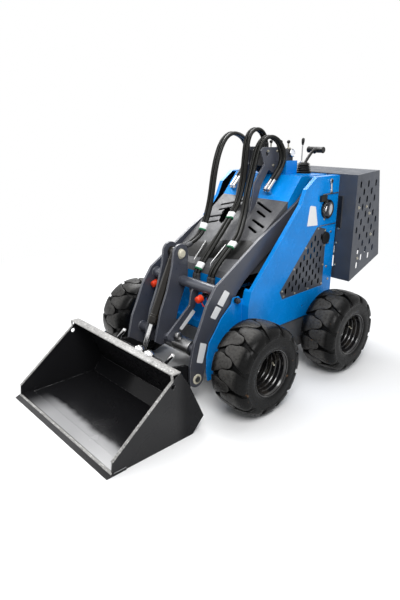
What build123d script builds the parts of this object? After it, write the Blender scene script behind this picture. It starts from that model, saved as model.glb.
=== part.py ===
from build123d import *
import math
import os

os.makedirs("parts", exist_ok=True)

# Frame: +X is the machine's left side, the bucket points along -Y, +Z is up.
# The origin is on the floor, under the middle of the machine's length and width.

# Wheels
wheelbase = 695.0
axle_mid_y = 191.0
tyre_radius = 228.5
tyre_width = 216.0
tyre_gap = 39.5
tyre_shoulder = 34.0
bead_radius = 108.0
bead_height = 10.0
bead_inset = 14.0
tyre_sides = 24
lug_count = 12
lug_depth = 16.0
lug_wall_step = 3.0
lug_foot_depth = 39.5
lug_outer_half_width = 43.0
lug_inner_half_width = 16.0
lug_drift = 24.0
lug_past_middle = 29.0
rim_flange_radius = 116.0
rim_wall = 6.0
rim_disc_x = 60.0
hub_radius = 52.0
axle_radius = 19.0
tyre_clearance = 0.3

# Sheet metal body and what lies side by side across it
hood_half_width = 238.0
arm_gap = 8.0
arm_plate = 14.0
skirt_gap = 5.0
skirt_sheet = 6.0
pod_width = 50.0
pod_flange = 24.0
panel_sheet = 5.0
body_rear_y = 662.0
body_bottom_z = 300.0
body_top_z = 1071.0
frame_inset = 8.0
frame_step_y = 62.0
frame_wall = 8.0
frame_bottom_z = 120.0
frame_front_y = -165.0
front_panel_y = -120.0
front_lip = 30.0
front_lip_height = 40.0

# Hood, cowl and console
hood_sheet = 4.0
hood_slope = 0.75
cowl_front_y = 315.0
cowl_front_z = 947.0
cowl_crest_y = 420.0
hood_nose_y = -105.0
hood_skirt_z = 600.0
console_half_width = 100.0
console_front_y = 462.0
console_rear_y = 560.0
console_height = 71.0
valve_half_width = 72.0
valve_height = 62.0
valve_inset = 6.0
valve_front_y = 330.0
valve_front_bottom_z = 1120.0
valve_port_z = 1200.0
knob_radius = 10.0
knob_height = 48.0
mast_near_x = 48.0
mast_far_x = -66.0
mast_sheet = 10.0
mast_hole = (344.0, 1184.0)
mast_hole_radius = 12.0

# Lift arms
lift_pivot = (521.0, 1010.0)
bucket_pivot = (-354.0, 150.0)
lift_end_radius = 50.0
bucket_end_radius = 44.0
lift_pin_radius = 19.0
bucket_pin_radius = 15.0
upper_tube = (-196.0, 560.0)
lower_tube = (-304.0, 268.0)
cross_tube_radius = 27.0
pin_clearance = 0.3

# Tilt cylinder
tilt_x = -75.0
tilt_base = (-203.0, 704.0)
tilt_pin = (-433.0, 200.0)
tilt_barrel_radius = 25.0
tilt_rod_radius = 13.0
tilt_barrel_length = 385.0
tilt_ear_gap = 38.0
inner_plate = 12.0

# Lift cylinders, one in each side pod
lift_base = (620.0, 560.0)
lift_eye = (516.0, 875.0)
lift_barrel_radius = 19.0
lift_rod_radius = 11.0
lift_lobe_radius = 30.0
lift_barrel_length = 225.0
lift_rod_overlap = 105.0
lift_eye_radius = 20.0
lift_eye_half_width = 18.0
eye_boss = 6.0

# Bucket
bucket_half_width = 425.5
bucket_sheet = 6.0
bucket_hole = (-640.0, 280.0)
bucket_hole_radius = 11.0
edge_half_width = 429.5
edge_tip_y = -991.0
edge_depth = 96.0
edge_thickness = 12.0
coupler_side_gap = 10.0
coupler_plate = 12.0

# Rear guard, engine and its shelf
guard_overhang = 113.0
guard_sheet = 3.0
guard_hem = 40.0
shelf_half_width = 200.0
shelf_depth = 233.0
shelf_z = 560.0
shelf_sheet = 8.0
engine_half_width = 190.0
engine_gap = 20.0
engine_depth = 193.0
engine_height = 392.0

# Joystick and lever
boot_place = (108.0, 610.0)
boot_radius = 47.0
boot_height = 58.0
handle_x = 104.0
handle_foot_y = 626.0
handle_grip = (726.0, 1196.0)
handle_half_length = 55.0
handle_radius = 18.0
lever_x = 102.0
lever_foot_y = 598.0
lever_knob = (598.0, 1225.0)
lever_top = (600.0, 1262.0)
lever_knob_radius = 9.0

# Side panel fittings
lamp_centre = (561.0, 894.0)
lamp_radius = 50.0
lamp_depth = 14.0
lamp_bracket = ((487.0, 540.0), (940.0, 972.0))
cap_centre = (574.0, 730.0)
cap_radius = 34.0
latch_top = (577.0, 1049.0)
latch_foot = (587.0, 985.0)
strip_z = (778.0, 958.0)
strip_inset = 7.0
strip_width = 25.0
strip_sheet = 6.0
rest_pin = (-102.0, 503.0)
rest_pin_radius = 14.0
drain_hole = (397.0, 366.0)
drain_hole_radius = 6.0
grille_sheet = 3.0
grille_setback = 4.0
grille_slot = (17.0, 40.0)
grille_pitch = (30.0, 64.0)
grille_first = (208.0, 452.0)
grille_margin = 6.0
guard_slot = (18.0, 44.0)
guard_pitch = (40.0, 84.0)
guard_first = (705.0, 520.0)
guard_margin = 22.0
hood_slot_width = 13.0
hood_opening_width = 50.0

# Couplers, port blocks and the strut on the upper cross tube
port_block_rear_y = -134.0
port_block_front_y = -180.0
port_block_bottom_z = 500.0
port_block_top_z = 562.0
far_block_gap = 2.0
far_block_width = 44.0
quick_coupler_radius = 16.0
quick_coupler_start = (-176.0, 518.0)
quick_coupler_end = (-216.0, 508.0)
cap_end = (-248.0, 500.0)
cap_red_radius = 19.0
strut_x = 70.0
strut_plate = 10.0

# Hoses
hose_radius = 10.0
hose_pitch = 12.0
fitting_radius = 11.0
nut_length = 18.0
cowl_fitting_top = (391.0, 1071.0)
cowl_fitting_foot = (316.0, 994.0)
cowl_fitting_left_x = 88.0
cowl_fitting_right_x = -168.0
tilt_port_length = 65.0
tilt_port_rise = 20.0
tilt_hose_run = 58.0

# Hood slots on the left, each from one end to the other in plan, and the far side's opening
hood_slot_lines = [
    ((46.0, 291.0), (190.0, 243.0)),
    ((86.0, 242.0), (175.0, 212.0)),
    ((101.0, 190.0), (217.0, 154.0)),
    ((111.0, 149.0), (196.0, 120.0)),
]
hood_opening = ((-126.0, 240.0), (-75.0, 135.0))

# Outlines in the side view, each point as (y, z)
pod_outline = [
    (body_rear_y, body_top_z),
    (450.0, body_top_z),
    (362.0, 1012.0),
    (326.0, 935.0),
    (-40.0, 540.0),
    (-58.0, 470.0),
    (-58.0, body_bottom_z),
    (body_rear_y, body_bottom_z),
]
pod_throat = [
    (450.0, 1085.0),
    (349.0, 1020.0),
    (314.0, 941.0),
    (-39.0, 556.0),
    (-23.0, 541.0),
    (338.0, 927.0),
    (374.0, 1003.0),
    (450.0, 1054.0),
]
skirt_outline = [
    (frame_step_y, 500.0),
    (-66.0, 500.0),
    (-80.0, 519.0),
    (-122.0, 519.0),
    (-133.0, 488.0),
    (-201.0, 430.0),
    (-243.0, 372.0),
    (-282.0, 322.0),
    (-298.0, 250.0),
    (-300.0, 167.0),
    (-290.0, frame_bottom_z),
    (frame_step_y, frame_bottom_z),
]
grille_outline = [
    (487.0, 804.0),
    (577.0, 781.0),
    (580.0, 451.0),
    (210.0, 446.0),
    (185.0, 491.0),
]
arm_outline = [
    (-398.0, 160.0),
    (-397.0, 228.0),
    (-369.0, 342.0),
    (-335.0, 411.0),
    (-290.0, 514.0),
    (-229.0, 596.0),
    (-136.0, 653.0),
    (65.0, 779.0),
    (241.0, 872.0),
    (373.0, 946.0),
    (500.0, 1056.0),
    (566.0, 1030.0),
    (556.0, 976.0),
    (430.0, 868.0),
    (85.0, 665.0),
    (-33.0, 584.0),
    (-78.0, 540.0),
    (-276.0, 281.0),
    (-311.0, 150.0),
]
inner_plate_outline = [
    (-252.0, 704.0),
    (-262.0, 640.0),
    (-300.0, 514.0),
    (-345.0, 411.0),
    (-384.0, 262.0),
    (-340.0, 232.0),
    (-274.0, 240.0),
    (-222.0, 420.0),
    (-158.0, 560.0),
    (-154.0, 704.0),
]
bucket_outline = [
    (-600.0, 338.0),
    (-545.0, 247.0),
    (-463.0, 70.0),
    (-531.0, 0.0),
    (-895.0, 0.0),
]
bucket_side_outline = [
    (-600.0, 335.0),
    (-545.0, 247.0),
    (-463.0, 70.0),
    (-531.0, 0.0),
    (-895.0, 0.0),
    (-895.0, 12.0),
    (-961.0, 12.0),
    (-962.0, 20.0),
    (-957.0, 62.0),
    (-640.0, 306.0),
]
guard_outline = [
    (664.0, 1077.0),
    (889.0, 1092.0),
    (991.0, 590.0),
    (681.0, 476.0),
]

strut_outline = [
    upper_tube,
    (-226.0, 530.0),
    (-240.0, 458.0),
    (-392.0, 332.0),
    (-384.0, 308.0),
    (-334.0, 284.0),
    lower_tube,
    (-296.0, 304.0),
    (-330.0, 330.0),
    (-204.0, 440.0),
    (-176.0, 520.0),
]

front_axle_y = axle_mid_y - wheelbase / 2
rear_axle_y = axle_mid_y + wheelbase / 2
arm_inner_x = hood_half_width + arm_gap
arm_outer_x = arm_inner_x + arm_plate
skirt_x = arm_outer_x + skirt_gap
pod_inner_x = skirt_x + skirt_sheet / 2
body_half_width = pod_inner_x + pod_width
lift_cylinder_x = (arm_outer_x + body_half_width) / 2
tyre_inner_x = body_half_width + tyre_gap
frame_front_half_width = skirt_x
frame_half_width = body_half_width - frame_inset
guard_half_width = body_half_width + guard_overhang
coupler_half_width = arm_inner_x - coupler_side_gap
valve_top_z = body_top_z + console_height + valve_height


def hood_height(y):
    """Height of the hood's sloping top at y."""
    return cowl_front_z - hood_slope * (cowl_front_y - y)


def side_plate(outline, x_start, thickness, mode=Mode.ADD):
    """Extrude a side-view outline along +X from x_start."""
    with BuildSketch(Plane.YZ.offset(x_start)) as profile:
        with BuildLine():
            Polyline(*outline, close=True)
        make_face()
    extrude(profile.sketch, amount=thickness, mode=mode)


def cross_bar(centre, x_start, x_end, radius, mode=Mode.ADD):
    """A round bar or bore along X through the side-view point."""
    with BuildSketch(Plane.YZ.offset(x_start)) as profile:
        with Locations(centre):
            Circle(radius)
    extrude(profile.sketch, amount=x_end - x_start, mode=mode)


def block(x_range, y_range, z_range, mode=Mode.ADD):
    """A box between the given limits."""
    centre = [(low + high) / 2 for low, high in (x_range, y_range, z_range)]
    with Locations(tuple(centre)):
        Box(
            x_range[1] - x_range[0],
            y_range[1] - y_range[0],
            z_range[1] - z_range[0],
            mode=mode,
        )


def bar_between(x, start, end, radius, mode=Mode.ADD):
    """A round bar in the plane at x, from one side-view point to another."""
    along_y = end[0] - start[0]
    along_z = end[1] - start[1]
    start_plane = Plane(
        origin=(x, start[0], start[1]), x_dir=(1, 0, 0), z_dir=(0, along_y, along_z)
    )
    with BuildSketch(start_plane) as profile:
        Circle(radius)
    extrude(profile.sketch, amount=math.hypot(along_y, along_z), mode=mode)


def part_way(start, end, distance):
    """The side-view point at a distance from start towards end."""
    length = math.dist(start, end)
    return (
        start[0] + (end[0] - start[0]) * distance / length,
        start[1] + (end[1] - start[1]) * distance / length,
    )


def encloses(outline, point):
    """True where a flat point lies inside the closed outline."""
    found = False
    for index in range(len(outline)):
        (first, first_height) = outline[index - 1]
        (second, second_height) = outline[index]
        if (first_height > point[1]) != (second_height > point[1]):
            share = (point[1] - first_height) / (second_height - first_height)
            if point[0] < first + share * (second - first):
                found = not found
    return found


def slot_centres(outline, size, pitch, first):
    """Centres of staggered upright slots whose corners all lie inside the outline."""
    centres = []
    columns = range(round((max(y for y, z in outline) - first[0]) / pitch[0]) + 1)
    rows = range(round((max(z for y, z in outline) - first[1]) / pitch[1]) + 1)
    for column in columns:
        for row in rows:
            y = first[0] + column * pitch[0]
            z = first[1] + row * pitch[1] + (column % 2) * pitch[1] / 2
            corners = [
                (y + side * size[0] / 2, z + end * size[1] / 2)
                for side in (-1, 1)
                for end in (-1, 1)
            ]
            if all(encloses(outline, corner) for corner in corners):
                centres.append((y, z))
    return centres


def cut_slots(plane, places, size, depth):
    """Cut long six-sided slots, each place as (across, up, turn in degrees), through a sheet."""
    width, height = size
    shoulder = height / 2 - width / 2
    with BuildSketch(plane) as slots:
        for across, up, turn in places:
            with Locations(Location((across, up, 0.0), turn)):
                Polygon(
                    (0.0, height / 2),
                    (-width / 2, shoulder),
                    (-width / 2, -shoulder),
                    (0.0, -height / 2),
                    (width / 2, -shoulder),
                    (width / 2, shoulder),
                    align=None,
                )
    extrude(slots.sketch, amount=depth, mode=Mode.SUBTRACT)


def inset_outline(outline, insets):
    """The outline with each edge moved inwards by its inset, as side-view points."""
    count = len(outline)
    area = 0.0
    for index in range(count):
        here = outline[index]
        after = outline[(index + 1) % count]
        area += here[0] * after[1] - after[0] * here[1]
    turn = 1.0 if area > 0 else -1.0
    moved = []
    for index in range(count):
        here = outline[index]
        after = outline[(index + 1) % count]
        length = math.dist(here, after)
        direction = ((after[0] - here[0]) / length, (after[1] - here[1]) / length)
        normal = (-direction[1] * turn, direction[0] * turn)
        inset = insets[index]
        moved.append(((here[0] + normal[0] * inset, here[1] + normal[1] * inset), direction))
    corners = []
    for index in range(count):
        (first, first_way) = moved[index - 1]
        (second, second_way) = moved[index]
        cross = first_way[0] * second_way[1] - first_way[1] * second_way[0]
        gap = (second[0] - first[0], second[1] - first[1])
        along = (gap[0] * second_way[1] - gap[1] * second_way[0]) / cross
        corners.append((first[0] + first_way[0] * along, first[1] + first_way[1] * along))
    return corners


def guard_front_y(z):
    """The y of the guard's front wall at height z."""
    top = guard_outline[0]
    foot = guard_outline[-1]
    return top[0] + (foot[0] - top[0]) * (top[1] - z) / (top[1] - foot[1])


def tube_along(route, radius):
    """A round tube swept along straight runs joined by tangent arcs."""
    points = [Vector(*place) for place in route]
    radii = []
    for before, corner, after in zip(points, points[1:], points[2:]):
        turn = (corner - before).get_angle(after - corner)
        shorter = min((corner - before).length, (after - corner).length)
        radii.append(0.45 * shorter / math.tan(math.radians(turn / 2)))
    with BuildPart(mode=Mode.PRIVATE) as tube:
        with BuildLine() as path:
            FilletPolyline(*points, radius=radii)
        with BuildSketch(Plane(origin=points[0], z_dir=points[1] - points[0])):
            Circle(radius)
        sweep(path=path.line)
    return tube.part, sum(edge.length for edge in path.edges()), radii


def finish(name, shape):
    """Label a finished piece and write its file."""
    shape.label = name
    export_step(shape, f"parts/{name}.step")


# Wheels: a tyre and a rim for each corner
wheel_places = [
    ("front_left", 1, front_axle_y),
    ("front_right", -1, front_axle_y),
    ("rear_left", 1, rear_axle_y),
    ("rear_right", -1, rear_axle_y),
]


def drum(rings, mode=Mode.ADD):
    """A faceted drum about Z through rings given as (height, corner radius)."""
    sections = []
    for height, radius in rings:
        with BuildSketch(Plane.XY.offset(height)) as section:
            RegularPolygon(radius, tyre_sides)
        sections.append(section.sketch)
    loft(sections, ruled=True, mode=mode)


def both_walls(rings):
    """The rings of the inner half, and the same rings mirrored on the outer half."""
    return rings + [(tyre_width - height, radius) for height, radius in reversed(rings)]


# Tyre, built about Z: slanting lugs that reach past the middle from both walls
lug_start = tyre_width + lug_wall_step
lug_end = tyre_width / 2 - lug_past_middle
casing_shoulder = tyre_radius - tyre_shoulder - lug_depth / 2
with BuildPart() as lug_tyre:
    for half in (0, 1):
        for number in range(lug_count):
            turn = math.radians(360.0 * (number + half / 2) / lug_count)
            outward = (-math.sin(turn), math.cos(turn), 0.0)
            foot_radius = tyre_radius - lug_foot_depth
            foot_plane = Plane(
                origin=(foot_radius * outward[0], foot_radius * outward[1], 0.0),
                x_dir=(math.cos(turn), math.sin(turn), 0.0),
                z_dir=outward,
            )
            heights = (tyre_width - lug_start, tyre_width - lug_end) if half else (lug_start, lug_end)
            with BuildSketch(foot_plane) as lug:
                with BuildLine():
                    Polyline(
                        (lug_outer_half_width, -heights[0]),
                        (lug_drift + lug_inner_half_width, -heights[1]),
                        (lug_drift - lug_inner_half_width, -heights[1]),
                        (-lug_outer_half_width, -heights[0]),
                        close=True,
                    )
                make_face()
            extrude(lug.sketch, amount=lug_foot_depth + lug_depth)
    tread_rings = both_walls([(0.0, tyre_radius - tyre_shoulder), (tyre_shoulder, tyre_radius)])
    drum(tread_rings, mode=Mode.INTERSECT)
    drum(
        both_walls(
            [
                (bead_inset, bead_radius + bead_height),
                (lug_wall_step, casing_shoulder),
                (tyre_shoulder, tyre_radius - lug_depth),
            ]
        )
    )
    with BuildSketch() as bore:
        RegularPolygon(bead_radius, tyre_sides, major_radius=False)
    extrude(bore.sketch, amount=tyre_width, mode=Mode.SUBTRACT)


def wheel_plane(side, axle_y):
    """A plane on the axle with its normal pointing out of the machine."""
    return Plane(
        origin=(side * tyre_inner_x, axle_y, tyre_radius),
        x_dir=(0, 0, 1),
        z_dir=(side, 0, 0),
    )


for place, side, axle_y in wheel_places:
    hub_plane = wheel_plane(side, axle_y)
    section_plane = Plane(origin=hub_plane.origin, x_dir=hub_plane.z_dir, z_dir=(0, side, 0))
    wheel_axis = Axis(hub_plane.origin, hub_plane.z_dir)

    tyre_plane = Plane(origin=hub_plane.origin, x_dir=(0, 1, 0), z_dir=(side, 0, 0))
    with BuildPart() as tyre:
        with Locations(tyre_plane.location):
            add(lug_tyre.part)
    finish(f"tyre_{place}", tyre.part)

    with BuildPart() as rim:
        with BuildSketch(section_plane):
            with BuildLine():
                Polyline(
                    (14.0, bead_radius - tyre_clearance),
                    (tyre_width - 14.0, bead_radius - tyre_clearance),
                    (tyre_width - 14.0, bead_radius - rim_wall),
                    (rim_disc_x + 8.0, bead_radius - rim_wall),
                    (rim_disc_x + 8.0, axle_radius),
                    (rim_disc_x, axle_radius),
                    (rim_disc_x, bead_radius - rim_wall),
                    (14.0, bead_radius - rim_wall),
                    close=True,
                )
            make_face()
        revolve(axis=wheel_axis)
    finish(f"rim_{place}", rim.part)

# Wheel motors, with their shafts in the rim discs
with BuildPart() as wheel_motors:
    for place, side, axle_y in wheel_places:
        frame_side = frame_half_width if axle_y > frame_step_y else skirt_x + skirt_sheet
        inner_x = side * frame_side
        start = min(inner_x, side * (tyre_inner_x + rim_disc_x - 4.0))
        end = max(inner_x, side * (tyre_inner_x + rim_disc_x - 4.0))
        cross_bar((axle_y, tyre_radius), start, end, hub_radius)
        shaft_end = side * (tyre_inner_x + rim_disc_x + 22.0)
        cross_bar(
            (axle_y, tyre_radius),
            min(inner_x, shaft_end),
            max(inner_x, shaft_end),
            axle_radius - tyre_clearance,
        )
finish("wheel_motors", wheel_motors.part)

# Main frame: an open tray between the wheels
frame_rear_y = body_rear_y
with BuildPart() as main_frame:
    block(
        (-frame_front_half_width, frame_front_half_width),
        (frame_front_y, frame_step_y + frame_wall),
        (frame_bottom_z, body_bottom_z),
    )
    block(
        (-frame_half_width, frame_half_width),
        (frame_step_y, frame_rear_y),
        (frame_bottom_z, body_bottom_z),
    )
    block(
        (-frame_front_half_width + frame_wall, frame_front_half_width - frame_wall),
        (frame_front_y + frame_wall, frame_step_y + frame_wall),
        (frame_bottom_z + frame_wall, body_bottom_z),
        mode=Mode.SUBTRACT,
    )
    block(
        (-frame_half_width + frame_wall, frame_half_width - frame_wall),
        (frame_step_y + frame_wall, frame_rear_y - frame_wall),
        (frame_bottom_z + frame_wall, body_bottom_z),
        mode=Mode.SUBTRACT,
    )
finish("main_frame", main_frame.part)

# Front panel between the arms
with BuildPart() as front_panel:
    block(
        (-hood_half_width, hood_half_width),
        (front_panel_y, front_panel_y + panel_sheet),
        (body_bottom_z, hood_skirt_z),
    )
    block(
        (-hood_half_width, hood_half_width),
        (front_panel_y - front_lip, front_panel_y),
        (body_bottom_z, body_bottom_z + front_lip_height),
    )
finish("front_panel", front_panel.part)

# Side pods: a tray-shaped panel each side with its skirt beside the arm
grille_field = inset_outline(grille_outline, [grille_margin] * len(grille_outline))
grille_slots = slot_centres(grille_field, grille_slot, grille_pitch, grille_first)
for side_name, side in (("left", 1), ("right", -1)):
    outer = side * body_half_width
    inner = side * pod_inner_x
    inner_outline = inset_outline(pod_outline, [panel_sheet] * len(pod_outline))
    with BuildPart() as side_panel:
        side_plate(pod_outline, min(inner, outer), abs(outer - inner))
        hollow_end = side * (body_half_width - panel_sheet)
        side_plate(
            inner_outline,
            min(inner, hollow_end),
            abs(hollow_end - inner),
            mode=Mode.SUBTRACT,
        )
        flange_start = side * (body_half_width - pod_flange)
        side_plate(
            pod_throat,
            min(inner, flange_start),
            abs(flange_start - inner),
            mode=Mode.SUBTRACT,
        )
        side_plate(
            skirt_outline,
            side * skirt_x if side > 0 else -skirt_x - skirt_sheet,
            skirt_sheet,
        )
        side_plate(
            grille_outline,
            -body_half_width if side < 0 else body_half_width - panel_sheet,
            panel_sheet,
            mode=Mode.SUBTRACT,
        )
        cross_bar(
            drain_hole,
            min(hollow_end, outer),
            max(hollow_end, outer),
            drain_hole_radius,
            mode=Mode.SUBTRACT,
        )
    finish(f"side_panel_{side_name}", side_panel.part)

    grille_x = body_half_width - grille_setback
    with BuildPart() as side_grille:
        side_plate(
            grille_outline,
            grille_x if side > 0 else -grille_x - grille_sheet,
            grille_sheet,
        )
        cut_slots(
            Plane.YZ.offset(grille_x if side > 0 else -grille_x - grille_sheet),
            [(y, z, 0.0) for y, z in grille_slots],
            grille_slot,
            grille_sheet,
        )
    finish(f"side_grille_{side_name}", side_grille.part)

# Hood: sloping sheet between the arms
hood_outline = [
    (cowl_front_y, cowl_front_z),
    (hood_nose_y, hood_height(hood_nose_y)),
    (front_panel_y, hood_skirt_z),
    (cowl_front_y, hood_skirt_z),
]
hood_drop = hood_sheet * math.hypot(1.0, hood_slope)
with BuildPart() as hood:
    side_plate(hood_outline, -hood_half_width, 2 * hood_half_width)
    side_plate(
        [
            (cowl_front_y + panel_sheet, hood_height(cowl_front_y + panel_sheet) - hood_drop),
            (hood_nose_y + hood_sheet, hood_height(hood_nose_y + hood_sheet) - hood_drop),
            (front_panel_y + hood_sheet, hood_skirt_z),
            (front_panel_y + hood_sheet, hood_skirt_z - panel_sheet),
            (cowl_front_y + panel_sheet, hood_skirt_z - panel_sheet),
        ],
        -hood_half_width + hood_sheet,
        2 * (hood_half_width - hood_sheet),
        mode=Mode.SUBTRACT,
    )
    for start, end in hood_slot_lines:
        length = math.dist(start, end)
        middle = ((start[0] + end[0]) / 2, (start[1] + end[1]) / 2)
        lean = math.degrees(math.atan2(start[0] - end[0], end[1] - start[1]))
        cut_slots(
            Plane.XY.offset(hood_skirt_z),
            [(middle[0], middle[1], lean), (-middle[0], middle[1], -lean)],
            (hood_slot_width, length),
            cowl_front_z - hood_skirt_z,
        )
    opening_lean = math.degrees(math.atan2(hood_opening[0][0] - hood_opening[1][0],
                                           hood_opening[1][1] - hood_opening[0][1]))
    cut_slots(
        Plane.XY.offset(hood_skirt_z),
        [
            (
                (hood_opening[0][0] + hood_opening[1][0]) / 2,
                (hood_opening[0][1] + hood_opening[1][1]) / 2,
                opening_lean,
            )
        ],
        (hood_opening_width, math.dist(*hood_opening)),
        cowl_front_z - hood_skirt_z,
    )
finish("hood", hood.part)

# Cowl: sloped dashboard and the deck behind it
cowl_outline = [
    (cowl_front_y, cowl_front_z),
    (cowl_crest_y, body_top_z),
    (body_rear_y - panel_sheet, body_top_z),
    (body_rear_y - panel_sheet, hood_skirt_z),
    (cowl_front_y, hood_skirt_z),
]
cowl_rise = (body_top_z - cowl_front_z) / (cowl_crest_y - cowl_front_y)
cowl_drop = hood_sheet * math.hypot(1.0, cowl_rise)
with BuildPart() as cowl:
    side_plate(cowl_outline, -hood_half_width, 2 * hood_half_width)
    side_plate(
        [
            (cowl_front_y - hood_sheet, cowl_front_z - 2 * cowl_drop),
            (cowl_front_y, cowl_front_z - cowl_drop),
            (cowl_crest_y + hood_sheet, body_top_z - panel_sheet),
            (body_rear_y - 2 * panel_sheet, body_top_z - panel_sheet),
            (body_rear_y - 2 * panel_sheet, hood_skirt_z - panel_sheet),
            (cowl_front_y - hood_sheet, hood_skirt_z - panel_sheet),
        ],
        -hood_half_width + hood_sheet,
        2 * (hood_half_width - hood_sheet),
        mode=Mode.SUBTRACT,
    )
finish("cowl", cowl.part)

# Rear wall behind the frame, joining both pods
with BuildPart() as rear_wall:
    block(
        (-body_half_width, body_half_width),
        (body_rear_y, body_rear_y + panel_sheet),
        (frame_bottom_z, body_top_z),
    )
finish("rear_wall", rear_wall.part)

# Console and valve block on the deck
with BuildPart() as console:
    block(
        (-console_half_width, console_half_width),
        (console_front_y, console_rear_y),
        (body_top_z, body_top_z + console_height),
    )
finish("console", console.part)

with BuildPart() as valve_block:
    block(
        (-valve_half_width, valve_half_width),
        (console_front_y, console_rear_y - valve_inset),
        (body_top_z + console_height, valve_top_z),
    )
    block(
        (mast_far_x + mast_sheet, mast_near_x),
        (valve_front_y, console_front_y),
        (valve_front_bottom_z, valve_port_z),
    )
finish("valve_block", valve_block.part)

# Valve knobs and the relief cap on the near side
knob_places = [(-44.0, 496.0), (-8.0, 508.0), (30.0, 492.0), (54.0, 530.0)]
with BuildPart() as valve_knobs:
    for knob_x, knob_y in knob_places:
        with BuildSketch(Plane.XY.offset(valve_top_z)):
            with Locations((knob_x, knob_y)):
                Circle(knob_radius / 2)
        extrude(amount=knob_height - knob_radius)
        with Locations((knob_x, knob_y, valve_top_z + knob_height - knob_radius)):
            Sphere(knob_radius)
finish("valve_knobs", valve_knobs.part)

# Mast: two plates ahead of the console with a stay down to the hood
mast_outline = [
    (console_front_y, body_top_z),
    (console_front_y, 1208.0),
    (450.0, 1216.0),
    (310.0, 1218.0),
    (294.0, 1202.0),
    (331.0, 1116.0),
    (cowl_crest_y + hood_sheet, body_top_z),
]
stay_foot = (219.0, 262.0)
stay_outline = [
    (stay_foot[1], hood_height(stay_foot[1])),
    (stay_foot[0], hood_height(stay_foot[0])),
    (249.0, 1034.0),
    (392.0, 1214.0),
    (448.0, 1214.0),
    (306.0, 1023.0),
]
with BuildPart() as mast:
    for plate_x in (mast_far_x, mast_near_x):
        side_plate(mast_outline, plate_x, mast_sheet)
        side_plate(stay_outline, plate_x, mast_sheet)
    cross_bar(
        mast_hole, mast_near_x, mast_near_x + mast_sheet, mast_hole_radius, mode=Mode.SUBTRACT
    )
finish("mast", mast.part)

# Joystick: bellows, T handle and a short lever
with BuildPart() as joystick_boot:
    with BuildSketch(Plane.XY.offset(body_top_z)):
        with Locations(boot_place):
            Circle(boot_radius)
    extrude(amount=boot_height)
finish("joystick_boot", joystick_boot.part)

boot_top_z = body_top_z + boot_height
with BuildPart() as t_handle:
    with BuildSketch(Plane.XY.offset(boot_top_z)):
        with Locations((handle_x, handle_foot_y)):
            Circle(handle_radius - 4.0)
    extrude(amount=handle_radius)
    bar_between(handle_x, (handle_foot_y, boot_top_z + 8.0), handle_grip, handle_radius / 2)
    cross_bar(
        handle_grip, handle_x - handle_half_length, handle_x + handle_half_length, handle_radius
    )
finish("t_handle", t_handle.part)

with BuildPart() as lever:
    with BuildSketch(Plane.XY.offset(boot_top_z)):
        with Locations((lever_x, lever_foot_y)):
            Circle(lever_knob_radius - 1.0)
    extrude(amount=lever_knob_radius)
    bar_between(lever_x, (lever_foot_y, boot_top_z + 5.0), lever_knob, lever_knob_radius / 2)
    bar_between(lever_x, lever_knob, lever_top, lever_knob_radius)
finish("lever", lever.part)

# Engine: one plain block on a shelf behind the rear wall
wall_rear_y = body_rear_y + panel_sheet
with BuildPart() as engine_shelf:
    block(
        (-shelf_half_width, shelf_half_width),
        (wall_rear_y, wall_rear_y + shelf_depth),
        (shelf_z, shelf_z + shelf_sheet),
    )
finish("engine_shelf", engine_shelf.part)

with BuildPart() as engine:
    block(
        (-engine_half_width, engine_half_width),
        (wall_rear_y + engine_gap, wall_rear_y + engine_gap + engine_depth),
        (shelf_z + shelf_sheet, shelf_z + shelf_sheet + engine_height),
    )
finish("engine", engine.part)

# Rear guard: open-bottomed sheet box round the engine
inner_guard = inset_outline(guard_outline, [guard_sheet, guard_sheet, -guard_hem, guard_sheet])
guard_field = inset_outline(guard_outline, [guard_margin] * len(guard_outline))
with BuildPart() as rear_guard:
    side_plate(guard_outline, -guard_half_width, 2 * guard_half_width)
    side_plate(
        inner_guard,
        -guard_half_width + guard_sheet,
        2 * (guard_half_width - guard_sheet),
        mode=Mode.SUBTRACT,
    )
    block(
        (-body_half_width, body_half_width),
        (body_rear_y - engine_gap, body_rear_y + engine_gap),
        (body_bottom_z, body_top_z),
        mode=Mode.SUBTRACT,
    )
    cut_slots(
        Plane.YZ.offset(-guard_half_width),
        [(y, z, 0.0) for y, z in slot_centres(guard_field, guard_slot, guard_pitch, guard_first)],
        guard_slot,
        2 * guard_half_width,
    )
finish("rear_guard", rear_guard.part)

# Fittings on the visible side: lamp, cap, latch, guard strip and arm rest pins
lamp_back_x = body_half_width
with BuildPart() as side_lamp:
    cross_bar(lamp_centre, lamp_back_x, lamp_back_x + lamp_depth, lamp_radius)
finish("side_lamp", side_lamp.part)

with BuildPart() as side_fittings:
    block((lamp_back_x, lamp_back_x + lamp_depth), *lamp_bracket)
    cross_bar(cap_centre, lamp_back_x, lamp_back_x + lamp_depth / 2, cap_radius)
    for side in (1, -1):
        start = side * (skirt_x + skirt_sheet)
        end = start + side * rest_pin_radius
        cross_bar(rest_pin, min(start, end), max(start, end), rest_pin_radius)
finish("side_fittings", side_fittings.part)

with BuildPart() as side_latch:
    cross_bar(latch_top, lamp_back_x, lamp_back_x + 8.0, 9.0)
    bar_between(lamp_back_x + 6.0, latch_top, latch_foot, 5.0)
    cross_bar(latch_foot, lamp_back_x, lamp_back_x + 8.0, 9.0)
finish("side_latch", side_latch.part)

with BuildPart() as guard_strip:
    strip_rear = [guard_front_y(z) for z in strip_z]
    side_plate(
        [
            (strip_rear[0], strip_z[0]),
            (strip_rear[1], strip_z[1]),
            (strip_rear[1] - strip_sheet, strip_z[1]),
            (strip_rear[0] - strip_sheet, strip_z[0]),
        ],
        body_half_width + strip_inset,
        strip_width,
    )
finish("guard_strip", guard_strip.part)

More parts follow.
